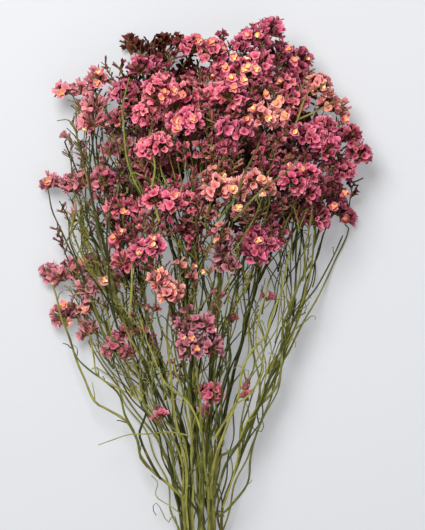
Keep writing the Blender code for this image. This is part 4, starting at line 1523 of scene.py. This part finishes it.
@dataclass
class Florist:
    """Dresses the heads with florets.

    Attributes:
        density: florets for each share of a lobe's surface.
        rim: the smallest and the largest rim radius, in millimetres.
        length: the shortest and the longest floret, in millimetres.
    """

    density: float = 1.0
    rim: tuple[float, float] = (2.4, 3.8)
    length: tuple[float, float] = (6.0, 8.5)
    calyxes: list[Template] = field(default_factory=list)
    corollas: list[Template] = field(default_factory=list)
    spikes: list[Template] = field(default_factory=list)
    bracts: list[Template] = field(default_factory=list)
    tips: list[tuple[np.ndarray, Pile]] = field(default_factory=list)

    def model_shapes(self) -> None:
        """Model every floret shape once."""
        for sizes in ((0.58, 0.70, 1.00, 0.12, 0.10), (0.50, 0.66, 1.00, 0.16, 0.14), (0.66, 0.80, 0.95, 0.10, 0.07),
                      (0.46, 0.62, 1.05, 0.22, 0.16), (0.62, 0.84, 0.94, 0.14, -0.06)):
            self.calyxes.append(CalyxShape(*sizes).model())
        for reach, rise in ((0.52, 1.06), (0.46, 1.14)):
            self.corollas.append(StarShape(5, 0.08, 0.20, 0.75, reach, rise, 0.5, 0.1).model())
        self.spikes.append(StarShape(4, 0.12, 0.34, 0.45, 0.55, 1.0, 0.42, 0.34).model())
        self.spikes.append(StarShape(5, 0.10, 0.30, 0.50, 0.70, 1.05, 0.45, 0.40).model())
        self.bracts.append(StarShape(3, 0.12, 0.30, 0.16, 0.36, 0.55, 0.6, 0.24).model())
        self.bracts.append(StarShape(3, 0.10, 0.26, 0.20, 0.30, 0.75, 0.5, 0.36).model())

    def dress(self, head: Head, pile: Pile) -> None:
        """Cover one head with florets.

        Args:
            head: the head.
            pile: the mesh of its spray and tone.
        """
        rng = random.Random(head.name + "_florets")
        lean = rng.uniform(0.25, 0.75)
        for number, (centre, radius) in enumerate(zip(head.centres, head.radii)):
            others = [(c, r) for other, (c, r) in enumerate(zip(head.centres, head.radii)) if other != number]
            outer = round(self.density * 0.37 * radius**2)
            self.cover(head, centre, radius, others, outer, 1.0, lean, rng, pile)
            # Inner florets with depth 0, painted dark as if in shade.
            self.cover(head, centre, radius * 0.62, [], max(3, outer // 5), 0.0, lean, rng, pile)
            if number:
                nearest = min(head.centres[:number], key=lambda c: np.linalg.norm(c - centre))
                self.bridge(head, nearest, centre, lean, rng, pile)

    @staticmethod
    def closed_share(head: Head) -> float:
        """Return how many of a head's florets are still closed: more of them on the left and at the back."""
        if head.tone is Tone.BROWN:
            return 0.6
        return 0.6 if head.spray.startswith("left") or head.tone in (Tone.MAUVE, Tone.PLUM) else 0.22

    def cover(self, head: Head, centre: np.ndarray, radius: float, others: list, count: int,
              depth: float, lean: float, rng: random.Random, pile: Pile) -> None:
        """Set florets all round one tuft, but not where its twig meets it.

        Args:
            head: the head.
            centre: the tuft's middle.
            radius: how far out the florets' rims reach.
            others: the middles and radii of the head's other tufts.
            count: how many florets a whole ball would have.
            depth: 1 for the outer florets and 0 for those in the shade.
            lean: the head's own lean in colour.
            rng: the head's random numbers.
            pile: the mesh that they go to.
        """
        base_frame = frame_of(head.axis, rng.uniform(0, 2 * math.pi))
        foot = centre - head.axis * radius * 0.35
        for index in range(count):
            height = 1.0 - 2.0 * (index + 0.5) / count + rng.uniform(-0.05, 0.05)
            if height < -0.5:
                continue
            turn = index * math.pi * (3.0 - math.sqrt(5.0)) + rng.uniform(-0.35, 0.35)
            ring = math.sqrt(max(0.0, 1.0 - height**2))
            way = np.array((ring * math.cos(turn), ring * math.sin(turn), height)) @ base_frame
            tip = centre + way * radius * rng.uniform(0.90, 1.08)
            if any(np.linalg.norm(tip - c) < 0.78 * r for c, r in others):
                continue
            self.place(tip, foot, depth, lean, head.tone, rng, pile, self.closed_share(head))

    def bridge(self, head: Head, start: np.ndarray, end: np.ndarray, lean: float, rng: random.Random,
               pile: Pile) -> None:
        """Set a few florets along the link between two tufts.

        Args:
            head: the head.
            start: the middle of the one tuft.
            end: the middle of the other.
            lean: the head's own lean in colour.
            rng: the head's random numbers.
            pile: the mesh that they go to.
        """
        for share in (0.35, 0.5, 0.65):
            side = np.array([rng.uniform(-1.0, 1.0) for _ in range(3)]) + head.axis * 0.8
            tip = start + (end - start) * share + unit(side) * rng.uniform(4.5, 7.0)
            foot = start + (end - start) * share - head.axis * 2.0
            self.place(tip, foot, 0.7, lean, head.tone, rng, pile, self.closed_share(head))

    def dress_lone(self, column: float, row: float, pile: Pile) -> None:
        """Set two or three florets where the picture shows them alone.

        Args:
            column: the picture's column.
            row: the picture's row.
            pile: the mesh of a near tone.
        """
        rng = random.Random(f"lone {column} {row}")
        foot = from_picture(column, row + 4, rng.uniform(34.0, 44.0))
        for _ in range(rng.randint(2, 3)):
            way = unit(np.array((rng.uniform(-0.8, 0.8), rng.uniform(0.2, 1.0), rng.uniform(0.0, 0.9))))
            self.place(foot + way * 6.0, foot, 1.0, 0.5, Tone.CORAL, rng, pile, 0.2)

    def dress_sprig(self, sprig: "Sprig", number: int, pile: Pile) -> None:
        """Set florets in two rows along the end of a sprig, like the teeth of a comb.

        Args:
            sprig: the sprig.
            number: its number, which seeds its random numbers.
            pile: the mesh of its spray and tone.
        """
        rng = random.Random(f"sprig florets {number}")
        closed = rng.choice((0.15, 0.4, 0.9)) + 0.5 * self.closed_share(sprig.head)
        lean = rng.uniform(0.1, 0.9)
        fine = smooth_route(sprig.path, 1.0)
        leafy = sprig.tip[1] < 100.0 or (sprig.tip[0] < -55.0 and rng.random() < 0.5)
        if leafy:
            self.add_leaflets(fine, rng, pile)
        for index in range(rng.randint(1, 3) if leafy else rng.randint(6, 9)):
            place = max(2, len(fine) - 1 - round(2.2 * index))
            along = unit(fine[place] - fine[place - 2])
            side = unit(np.cross(along, (0.0, 0.0, 1.0)))
            up = np.cross(side, along)
            spread = rng.uniform(0.3, 1.0) * (-1.0 if index % 2 else 1.0)
            way = unit(along * rng.uniform(0.7, 1.3) + side * spread + up * rng.uniform(-0.1, 1.0))
            tip = fine[place] + way * rng.uniform(6.0, 8.5)
            # Painted shade: sprig florets lower in the bunch get a lower depth and so come out darker.
            depth = min(0.6, max(0.0, (tip[2] - 25.0) / 85.0))
            self.place(tip, fine[place], depth, lean, sprig.head.tone, rng, pile, closed)

    def add_leaflets(self, fine: np.ndarray, rng: random.Random, pile: Pile) -> None:
        """Set green scales in two rows along a sprig.

        Args:
            fine: the sprig's route, a point each millimetre.
            rng: the sprig's random numbers.
            pile: the mesh that they go to.
        """
        for place in range(len(fine) - 1, max(3, len(fine) - 34), -3):
            along = unit(fine[place] - fine[place - 2])
            side = unit(np.cross(along, (0.0, 0.0, 1.0))) * rng.uniform(-1.0, 1.0)
            way = unit(along + side + (0.0, 0.0, rng.uniform(-0.2, 0.7)))
            shape = rng.choice(self.bracts)
            points = shape.points * (1.5, 1.5, rng.uniform(5.0, 9.0))
            points = fine[place] + points @ frame_of(way, rng.uniform(0, 6.3))
            pile.add(shape, points, rng.uniform(0.0, 0.4), 0.5, Layer.BRACT.value, shape.sheet * (1.0, 0.5))

    def dress_bud(self, limb: Limb, rng: random.Random, pile: Pile) -> None:
        """Set a fan of closed florets at a twig's end.

        Args:
            limb: the twig.
            rng: the spray's random numbers.
            pile: the mesh that they go to.
        """
        way = unit(limb.points[-1] - limb.points[-2])
        for _ in range(7):
            aim = unit(way + np.array([rng.uniform(-0.55, 0.55) for _ in range(3)]))
            foot = limb.points[-1] - way * rng.uniform(0.0, 0.9) * limb.bud
            self.place(foot + aim * rng.uniform(5.5, 8.0), foot, 1.0, 0.4, Tone.MAUVE, rng, pile, 0.8)

    def open_flowers(self) -> None:
        """Add the yellow and orange flowers where the picture shows them, on top of the florets there."""
        rng = random.Random("flowers")
        tips = np.array([tip for tip, _ in self.tips])
        for places, tint in ((YELLOW_FLOWERS, 0.2), (ORANGE_FLOWERS, 0.8)):
            for column, row in places:
                spot = from_picture(column, row, 0.0)
                apart = np.hypot(tips[:, 0] - spot[0], tips[:, 1] - spot[1])
                near = np.nonzero(apart < 9.0)[0]
                if len(near) == 0:
                    continue
                best = near[np.argmax(tips[near, 2])]
                spot[2] = tips[best, 2] + 1.0
                way = unit(np.array((rng.uniform(-0.4, 0.4), rng.uniform(0.0, 0.5), 1.0)))
                turn = frame_of(way, rng.uniform(0, 6.3))
                shape = rng.choice(self.calyxes)
                points = self.ruffle(shape.points, rng) * (4.2, 4.2, 6.0)
                self.tips[best][1].add(shape, spot - way * 6.0 + points @ turn, 0.8, 1.0, Layer.CALYX.value)
                shape = rng.choice(self.corollas)
                points = shape.points * (4.6, 4.6, 6.6)
                self.tips[best][1].add(shape, spot - way * 6.0 + points @ turn, tint, 1.0, Layer.COROLLA.value)

    def place(self, tip: np.ndarray, foot: np.ndarray, depth: float, lean: float, tone: Tone,
              rng: random.Random, pile: Pile, closed_share: float) -> None:
        """Set one floret with its bract, and sometimes with its small flower.

        Args:
            tip: the middle of its rim.
            foot: what it points away from.
            depth: how far out of the shade it stands.
            lean: the head's own lean in colour.
            tone: the head's tone.
            rng: the head's random numbers.
            pile: the mesh that it goes to.
            closed_share: how many of the florets here are still closed, from 0 to 1.
        """
        way = unit(tip - foot + np.array([rng.uniform(-1.0, 1.0) for _ in range(3)]))
        closed = rng.random() < closed_share
        length = min(rng.uniform(*self.length), max(4.0, np.linalg.norm(tip - foot))) * (1.25 if closed else 1.0)
        turn = frame_of(way, rng.uniform(0, 2 * math.pi))
        rim = rng.uniform(*self.rim) * (0.62 if closed else 1.0) * (1.16 if depth > 0.9 else 0.9)
        tint = min(1.0, max(0.0, lean + rng.uniform(-0.45, 0.45)))
        start = tip - way * length
        self.tips.append((tip, pile))
        shape = rng.choice(self.spikes if closed else self.calyxes)
        points = self.ruffle(shape.points, rng) * (rim, rim, length)
        sheet = shape.sheet * (1.0, 0.6) + (0.0, 0.4) if closed else None
        pile.add(shape, start + points @ turn, tint, depth, Layer.CALYX.value, sheet)
        shape = rng.choice(self.bracts)
        girth = rim * (1.3 if closed else 0.9) + 0.6
        points = shape.points * (girth, girth, length * 0.9) - (0.0, 0.0, 1.2)
        pile.add(shape, start + points @ turn, tint, depth, Layer.BRACT.value)
        if not closed and depth > 0.5 and way[2] > -0.2 and rng.random() < COROLLA_SHARES[tone]:
            shape = rng.choice(self.corollas)
            size = rng.uniform(3.2, 4.4)
            points = shape.points * (size, size, length * 0.9)
            pile.add(shape, start + points @ turn, rng.random(), depth, Layer.COROLLA.value)

    @staticmethod
    def ruffle(points: np.ndarray, rng: random.Random) -> np.ndarray:
        """Return a copy of a funnel's points with its sheet waved, squeezed and bent.

        Args:
            points: the template's points.
            rng: the head's random numbers.

        Returns:
            The new points.
        """
        angle = np.arctan2(points[:, 1], points[:, 0])
        out = np.clip(np.hypot(points[:, 0], points[:, 1]), 0.0, 1.2)
        wave = rng.uniform(0.03, 0.14) * np.sin(2 * angle + rng.uniform(0, 6.3))
        wave += rng.uniform(0.03, 0.12) * np.sin(3 * angle + rng.uniform(0, 6.3))
        wave += rng.uniform(0.02, 0.09) * np.sin(5 * angle + rng.uniform(0, 6.3))
        spread = 1.0 + rng.uniform(0.0, 0.16) * np.sin(3 * angle + rng.uniform(0, 6.3)) * out
        torn = np.array([rng.uniform(0.82, 1.14) for _ in range(len(points))])
        spread *= np.where(out > 0.8, torn, 1.0)
        bent = points * np.stack([spread, spread, np.ones_like(spread)], axis=1)
        bent[:, 1] *= rng.uniform(0.45, 0.95)
        bent[:, 2] += wave * out**2
        bent[:, 0] += rng.uniform(-0.18, 0.18) * points[:, 2] ** 2
        return bent


@dataclass
class StemMaker:
    """Bends rods along the limbs and adds fine twigs, joints and scales.

    Attributes:
        step: the distance between the rings of a stem, in millimetres.
        twig_radius: a twig's radius at its fork and at its tip.
        wire_radius: a fine twig's radius at its fork and at its tip.
        lift: how far over its spray's middle a traced twig starts, in millimetres.
        wires: how many fine twigs each spray has.
        main_share: how thick the middle main stems are beside the plan's clearance radius.
        side_share: the same for the main stems at the sides.
    """

    step: float = 4.5
    twig_radius: tuple[float, float] = (0.85, 0.55)
    wire_radius: tuple[float, float] = (0.62, 0.34)
    wires: int = 88
    lift: float = 14.0
    main_share: float = 0.72
    side_share: float = 0.6
    florist: Florist | None = None
    rods: dict[tuple[int, int], Template] = field(default_factory=dict)
    scale: Template | None = None

    def rod(self, sides: int, runs: int) -> Template:
        """Return a rod of a given number of sides and runs, modelled once.

        Args:
            sides: how many sides it has.
            runs: how many lengths.

        Returns:
            The template.
        """
        runs = max(6, 6 * round(runs / 6))
        if (sides, runs) not in self.rods:
            winged = (3, 0.22) if sides > 8 else (0, 0.0)
            self.rods[sides, runs] = RodShape(sides, runs, *winged).model()
        return self.rods[sides, runs]

    def bend(self, route: np.ndarray, low: float, high: float, sides: int, tint: float, pile: Pile,
             rng: random.Random, sway: float = 0.6) -> None:
        """Bend a rod along a route, with a thicker joint every so often.

        Args:
            route: the points that it follows.
            low: its radius at the start.
            high: its radius at the end.
            sides: how many sides it has.
            tint: its lean in colour.
            pile: the mesh that it goes to.
            rng: the spray's random numbers.
            sway: how far it strays from the route, in millimetres.
        """
        fine = smooth_route(route, 2.0)
        run = np.concatenate([[0.0], np.cumsum(np.linalg.norm(np.diff(fine, axis=0), axis=1))])
        length = run[-1]
        fade = np.minimum(1.0, np.minimum(run, length - run) / 25.0)
        for axis in (0, 2):
            short = rng.uniform(0.1, 0.5) * np.sin(run / rng.uniform(4.0, 9.0) + rng.uniform(0, 6.3))
            middle = rng.uniform(0.2, 0.5) * sway * np.sin(run / rng.uniform(6.0, 12.0) + rng.uniform(0, 6.3))
            long = rng.uniform(0.5, 1.0) * sway * np.sin(run / rng.uniform(12.0, 28.0) + rng.uniform(0, 6.3))
            fine[:, axis] += fade * (short + middle + long)
        rod = self.rod(sides, round(length / self.step))
        marks = rod.points[:, 2] * length
        centre = np.stack([np.interp(marks, run, fine[:, axis]) for axis in range(3)], axis=1)
        ways = np.gradient(fine, axis=0)
        ways = ways / np.linalg.norm(ways, axis=1)[:, None]
        firsts = np.empty_like(ways)
        first = frame_of(ways[0], rng.uniform(0, 6.3))[0]
        for number, way in enumerate(ways):
            first = unit(first - (first @ way) * way)
            firsts[number] = first
        first = np.stack([np.interp(marks, run, firsts[:, axis]) for axis in range(3)], axis=1)
        way = np.stack([np.interp(marks, run, ways[:, axis]) for axis in range(3)], axis=1)
        second = np.cross(way, first)
        joints = np.zeros(len(marks))
        place = rng.uniform(8.0, 25.0)
        while place < length:
            joints = np.maximum(joints, np.exp(-((marks - place) / 1.8) ** 2))
            place += rng.uniform(16.0, 38.0)
        radius = (low + (high - low) * rod.points[:, 2]) * (1.0 + 0.16 * joints)
        radius = radius * (1.0 + 0.08 * np.sin(marks / 3.7 + rng.uniform(0, 6.3)))
        x, y = rod.points[:, 0] * radius, rod.points[:, 1] * radius
        points = centre + first * x[:, None] + second * y[:, None]
        sheet = rod.sheet * (1.0, length) + (0.0, rng.uniform(0, 500.0))
        pile.add(rod, points, tint, joints, Layer.STEM.value, sheet)

    def dress(self, name: str, limbs: list[Limb], members: list[int], pile: Pile) -> None:
        """Make one spray's stems.

        Args:
            name: the spray.
            limbs: all the limbs of the bunch.
            members: the numbers of this spray's limbs.
            pile: the mesh that they go to.
        """
        rng = random.Random(name + "_stems")
        if self.scale is None:
            self.scale = StarShape(3, 0.3, 0.8, 0.3, 0.25, 1.0, 0.7, 0.1).model()
        for index in members:
            limb = limbs[index]
            tint = rng.uniform(0.0, 1.0)
            if limb.parent < 0:
                share = self.main_share if SPRAYS[name].girth > 1.0 else self.side_share
                self.bend(limb.points, share * limb.radii[0], share * limb.radii[-1], 12, tint * 0.5, pile, rng)
                continue
            self.bend(self.bowed(limb.points, rng), *self.twig_radius, 6, tint, pile, rng, 1.8)
            self.add_scale(limb.points, rng, tint, pile)
            if limb.bud:
                self.florist.dress_bud(limb, rng, pile)
        for twig in TRACED_TWIGS:
            if twig.spray == name:
                heights = np.linspace(twig.heights[0] + self.lift, twig.heights[1] + 4.0, len(twig.places))
                path = np.array([from_picture(*place, height) for place, height in zip(twig.places, heights)])
                if twig.places[0][1] > 525:
                    foot = limbs[members[0]].points[3]
                    path = np.vstack([foot, path])
                self.bend(path, *twig.radii, 6, rng.uniform(0.0, 1.0), pile, rng, 0.9)
                if twig.radii[0] > 0.6:
                    self.add_hooks(path, rng, pile)
        for number in range(self.wires):
            self.add_wire(limbs, members, rng, pile, number % 24 == 0)

    @staticmethod
    def bowed(route: np.ndarray, rng: random.Random) -> np.ndarray:
        """Return a twig's route bowed outwards in the middle, as dried twigs droop.

        Args:
            route: the planned route.
            rng: the spray's random numbers.
        """
        chord = route[-1] - route[0]
        across = np.array((chord[1], -chord[0], 0.0)) * (1.0 if chord[0] > 0.0 else -1.0)
        bow = np.sin(np.linspace(0.0, math.pi, len(route))) * rng.uniform(0.02, 0.11)
        return route + bow[:, None] * across

    def add_scale(self, route: np.ndarray, rng: random.Random, tint: float, pile: Pile) -> None:
        """Set a narrow scale leaf at a fork.

        Args:
            route: the twig that forks off.
            rng: the spray's random numbers.
            tint: its lean in colour.
            pile: the mesh that it goes to.
        """
        way = unit(route[1] - route[0] + np.array([rng.uniform(-6.0, 6.0) for _ in range(3)]))
        size = rng.uniform(3.5, 7.0)
        points = self.scale.points * (1.1, 0.45, size) + (0.0, 0.8, 0.0)
        points = route[0] + points @ frame_of(way, rng.uniform(0, 6.3))
        pile.add(self.scale, points, tint, 0.8, Layer.STEM.value)

    def add_sprig(self, sprig: "Sprig", pile: Pile) -> None:
        """Grow the twig of one sprig.

        Args:
            sprig: the sprig.
            pile: the mesh that it goes to.
        """
        rng = random.Random(f"sprig {sprig.tip[0]:.3f}")
        self.bend(sprig.path, *self.wire_radius, 4, rng.uniform(0.0, 1.0), pile, rng)

    def add_hooks(self, path: np.ndarray, rng: random.Random, pile: Pile) -> None:
        """Grow short hooked side shoots from a twig.

        Args:
            path: the twig's route.
            rng: the spray's random numbers.
            pile: the mesh that they go to.
        """
        for number in range(2, len(path) - 1, 2):
            if rng.random() < 0.6:
                along = unit(path[number + 1] - path[number - 1])
                side = np.cross(along, (0.0, 0.0, rng.choice((-1.0, 1.0))))
                reach = rng.uniform(5.0, 16.0)
                middle = path[number] + along * reach * 0.6 + side * reach * 0.35
                tip = middle + along * reach * rng.uniform(-0.2, 0.7) + side * reach * rng.uniform(-0.2, 0.6)
                hook = np.array([path[number], (path[number] + middle) / 2 + side * 0.6, middle, tip])
                hook[:, 2] += np.linspace(0.0, rng.uniform(-3.0, 5.0), 4)
                self.bend(hook, 0.5, 0.28, 4, rng.uniform(0.0, 1.0), pile, rng)

    def add_wire(self, limbs: list[Limb], members: list[int], rng: random.Random, pile: Pile,
                 riser: bool) -> None:
        """Grow one fine twig from a limb towards another, or into a loose curl.

        Args:
            limbs: all the limbs of the bunch.
            members: the numbers of this spray's limbs.
            rng: the spray's random numbers.
            pile: the mesh that it goes to.
            riser: whether it is a long one that leaves the main stem low down.
        """
        low_down = not riser and rng.random() < 0.3
        route = limbs[members[0] if riser or low_down else rng.choice(members)].points
        number = rng.randrange(min(8, len(route) - 3), len(route) - 1) if riser else rng.randrange(1, max(2, len(route) - 1))
        start, along = route[number], unit(route[number] - route[number - 1])
        if not riser and start[1] < -30.0 and rng.random() < 0.75:
            return
        curled = not riser and rng.random() < 0.5
        if curled:
            side = unit(np.cross(along, (rng.uniform(-0.3, 0.3), rng.uniform(-0.3, 0.3), 1.0)))
            side = side * rng.choice((-1.0, 1.0))
            reach = rng.uniform(10.0, 32.0)
            turn = np.linspace(0.0, rng.uniform(1.2, 4.5), 9)[1:]
            middle = start + along * reach + side * reach * 0.35
            size = rng.uniform(3.0, 7.0)
            loop = [middle + side * size * (1 - math.cos(t)) * (1 - t / 9) + along * size * math.sin(t) for t in turn]
            path = np.array([start, start + along * reach * 0.5 + side * reach * 0.1, middle, *loop])
            path[:, 2] = np.clip(path[:, 2] + np.linspace(0.0, rng.uniform(-4.0, 6.0), len(path)), 1.0, None)
            if abs(path[-1, 0]) > 98.0 or path[-1, 1] > 205.0:
                return
            self.bend(path, *self.wire_radius, 4, rng.uniform(0.1, 1.0), pile, rng)
            return
        for _ in range(12):
            goal_route = limbs[rng.choice(members)].points
            goal_number = rng.randrange(1, len(goal_route))
            goal = goal_route[goal_number] + np.array([rng.uniform(-7.0, 7.0) for _ in range(3)])
            goal[2] += rng.uniform(0.0, 14.0)
            way = goal - start
            if 35.0 < np.linalg.norm(way) < (230.0 if riser else 130.0) and unit(way) @ along > 0.8:
                arrive = unit(goal_route[goal_number] - goal_route[goal_number - 1])
                path = eased_fork(start, along, goal, arrive, 8)
                path[:, 2] = np.clip(path[:, 2], 1.0, None)
                low = self.wire_radius[0] * (1.2 if riser else 0.9)
                bow = np.sin(np.linspace(0.0, math.pi, len(path))) * rng.uniform(-0.09, 0.09)
                path[:, 0] += bow * np.linalg.norm(way)
                self.bend(path, low, self.wire_radius[1], 4, rng.uniform(0.0, 1.0), pile, rng, 3.4)
                if 0.0 < path[-1, 1] < 150.0 and rng.random() < (0.8 if path[-1, 0] < -30.0 else 0.4):
                    self.florist.add_leaflets(smooth_route(path, 1.0), rng, pile)
                return


@dataclass
class Sprig:
    """A short side twig that fills the room between heads, with florets along its end."""

    tip: np.ndarray
    axis: np.ndarray
    head: Head
    limb: int
    path: np.ndarray


@dataclass
class SprigPlan:
    """Chooses where the sprigs stand: between heads that are near each other.

    Attributes:
        wanted: how many sprigs there are at most.
        apart: the shortest distance between two sprigs' ends, in millimetres.
        span: how far apart the two tufts may be that a sprig stands between.
    """

    wanted: int = 480
    apart: float = 7.2
    span: tuple[float, float] = (12.0, 74.0)

    def choose(self, heads: list[Head], limbs: list[Limb]) -> list[Sprig]:
        """Return the sprigs.

        Args:
            heads: the settled heads.
            limbs: the settled limbs.

        Returns:
            The sprigs, each with the limb point that it grows from.
        """
        rng = random.Random("sprigs")
        centres = np.vstack([head.centres for head in heads])
        radii = np.concatenate([head.radii for head in heads])
        owners = [head for head in heads for _ in head.radii]
        distance = np.linalg.norm(centres[:, None] - centres[None], axis=2)
        pairs = np.argwhere((distance > self.span[0]) & (distance < self.span[1]))
        pairs = [(int(a), int(b)) for a, b in pairs if a < b]
        rng.shuffle(pairs)
        sprigs: list[Sprig] = []
        for a, b in pairs:
            share = rng.uniform(0.3, 0.7)
            tip = centres[a] * (1 - share) + centres[b] * share
            tip = tip + np.array([rng.uniform(-4.0, 4.0) for _ in range(3)])
            head = owners[a] if share < 0.5 else owners[b]
            if np.any(np.linalg.norm(centres - tip, axis=1) < 0.85 * radii) or tip[2] < 6.0:
                continue
            if any(np.linalg.norm(sprig.tip - tip) < self.apart for sprig in sprigs):
                continue
            root = self.find_root(tip, head.axis, limbs)
            if root is not None:
                route = limbs[root[0]].points
                start = route[root[1]]
                path = eased_fork(start, unit(start - route[root[1] - 1]), tip, head.axis, 9)
                path[:, 2] = np.clip(path[:, 2], 1.0, None)
                sprigs.append(Sprig(tip, head.axis, head, root[0], path))
            if len(sprigs) >= self.wanted:
                break
        return sprigs

    @staticmethod
    def find_root(tip: np.ndarray, axis: np.ndarray, limbs: list[Limb]) -> tuple[int, int] | None:
        """Return the limb point that a sprig can best grow from.

        Args:
            tip: the sprig's end.
            axis: the direction that it faces.
            limbs: the settled limbs.

        Returns:
            The limb's number and its point, or nothing where none is near.
        """
        best, best_cost = None, 1e9
        for index, limb in enumerate(limbs):
            ways = tip - limb.points[1:]
            reach = np.linalg.norm(ways, axis=1)
            cost = np.abs(reach - 32.0) + 60.0 * (1.0 - (ways @ axis) / reach)
            cost[(reach < 12.0) | (reach > 75.0)] = 1e9
            number = int(np.argmin(cost))
            if cost[number] < best_cost:
                best, best_cost = (index, number + 1), cost[number]
        return best


@dataclass
class Bunch:
    """The whole bunch: its plan, its florist and its stem maker."""

    florist: Florist = field(default_factory=Florist)
    stem_maker: StemMaker = field(default_factory=StemMaker)
    sprig_plan: SprigPlan = field(default_factory=SprigPlan)

    def build(self) -> None:
        """Settle the plan, dress it, and attach each piece while hiding the CAD nodes that it stands for."""
        heads = HeadPlan().heads
        limbs = LimbPlan(heads).limbs
        StemField(limbs, heads).settle()
        LOG.info("settled %d heads on %d limbs", len(heads), len(limbs))
        self.florist.model_shapes()
        self.stem_maker.florist = self.florist
        materials = {tone: finish.material(tone.value) for tone, finish in PETALS.items()}
        corolla = CorollaFinish().material("corolla")
        bract = BractFinish().material("bract")
        stem = StemFinish().material("stem_green")
        sprigs = self.sprig_plan.choose(heads, limbs)
        LOG.info("chose %d sprigs", len(sprigs))
        piles: dict[tuple[str, Tone], Pile] = {}
        for head in heads:
            pile = piles.setdefault((head.spray, head.tone), Pile())
            self.florist.dress(head, pile)
        for number, sprig in enumerate(sprigs):
            self.florist.dress_sprig(sprig, number, piles[sprig.head.spray, sprig.head.tone])
        for place in LONE_FLORETS:
            self.florist.dress_lone(*place, piles["centre_top", Tone.CORAL])
        self.florist.open_flowers()
        for (spray, tone), pile in piles.items():
            piece = pile.build(f"florets_{spray}_{tone.value}", [materials[tone], corolla, bract])
            nodes = [head.name for head in heads if (head.spray, head.tone) == (spray, tone)]
            self.declare(piece, nodes, tone.value)
        for spray in SPRAYS:
            pile = Pile()
            members = [index for index, limb in enumerate(limbs) if limb.spray == spray]
            self.stem_maker.dress(spray, limbs, members, pile)
            for sprig in sprigs:
                if sprig.limb in members:
                    self.stem_maker.add_sprig(sprig, pile)
            piece = pile.build(f"branches_{spray}", [materials[Tone.MAUVE], corolla, bract, stem])
            self.declare(piece, [f"stems_{spray}"], "stem")

    @staticmethod
    def declare(piece: bpy.types.Object, nodes: list[str], slot: str) -> None:
        """Attach one piece to the root body and hide the CAD nodes that it stands for.

        Args:
            piece: the finished mesh object.
            nodes: the CAD nodes that it stands for.
            slot: not used.
        """
        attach(piece, "root")
        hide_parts(*nodes)


@dataclass(frozen=True)
class Studio:
    """The camera above the bunch, the pale surface under it and soft daylight.

    Attributes:
        aim: where the camera looks, in metres.
        distance: how far above the aim it stands.
        view_height: how much of the bunch's plane the picture's height shows.
    """

    aim: tuple[float, float, float] = (0.0053, 0.0931, 0.05)
    distance: float = 1.8
    view_height: float = 0.3816

    def build(self) -> None:
        """Make the surface, the world, the lights and the camera."""
        if bpy.context.selected_objects:
            bpy.ops.object.select_all(action="DESELECT")
        bpy.ops.mesh.primitive_plane_add(size=6.0)
        floor = bpy.context.active_object
        floor.name = "floor"
        floor.data.materials.append(FloorFinish().material("floor_white"))
        world = bpy.data.worlds.new("daylight")
        world.use_nodes = True
        world.node_tree.nodes["Background"].inputs["Color"].default_value = (0.93, 0.95, 1.0, 1.0)
        world.node_tree.nodes["Background"].inputs["Strength"].default_value = 0.25
        bpy.context.scene.world = world
        bpy.context.scene.view_settings.view_transform = "Standard"
        self.add_light("key", (-0.40, 0.85, 1.40), 0.8, 32.5)
        self.add_light("fill", (0.6, -0.5, 1.6), 1.4, 5.5)
        camera_data = bpy.data.cameras.new("camera")
        camera_data.lens = camera_data.sensor_width * self.distance / self.view_height
        camera = bpy.data.objects.new("camera", camera_data)
        camera.location = (self.aim[0], self.aim[1], self.aim[2] + self.distance)
        bpy.context.scene.collection.objects.link(camera)
        bpy.context.scene.camera = camera

    def add_light(self, name: str, place: tuple[float, float, float], size: float, power: float) -> None:
        """Add a soft square light that faces the bunch.

        Args:
            name: its name.
            place: where it stands, in metres.
            size: the length of its side.
            power: its power in watts.
        """
        data = bpy.data.lights.new(name, "AREA")
        data.size = size
        data.energy = power
        light = bpy.data.objects.new(name, data)
        light.location = place
        way = np.array(self.aim) - np.array(place)
        flat = math.hypot(way[0], way[1])
        light.rotation_euler = (math.atan2(flat, -way[2]), 0.0, math.atan2(way[1], way[0]) - math.pi / 2)
        bpy.context.scene.collection.objects.link(light)


def main() -> None:
    """Build the bunch and its studio."""
    logging.basicConfig(level=logging.INFO, format="%(message)s")
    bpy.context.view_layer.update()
    Bunch().build()
    Studio().build()
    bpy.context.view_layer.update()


if __name__ == "__main__":
    main()
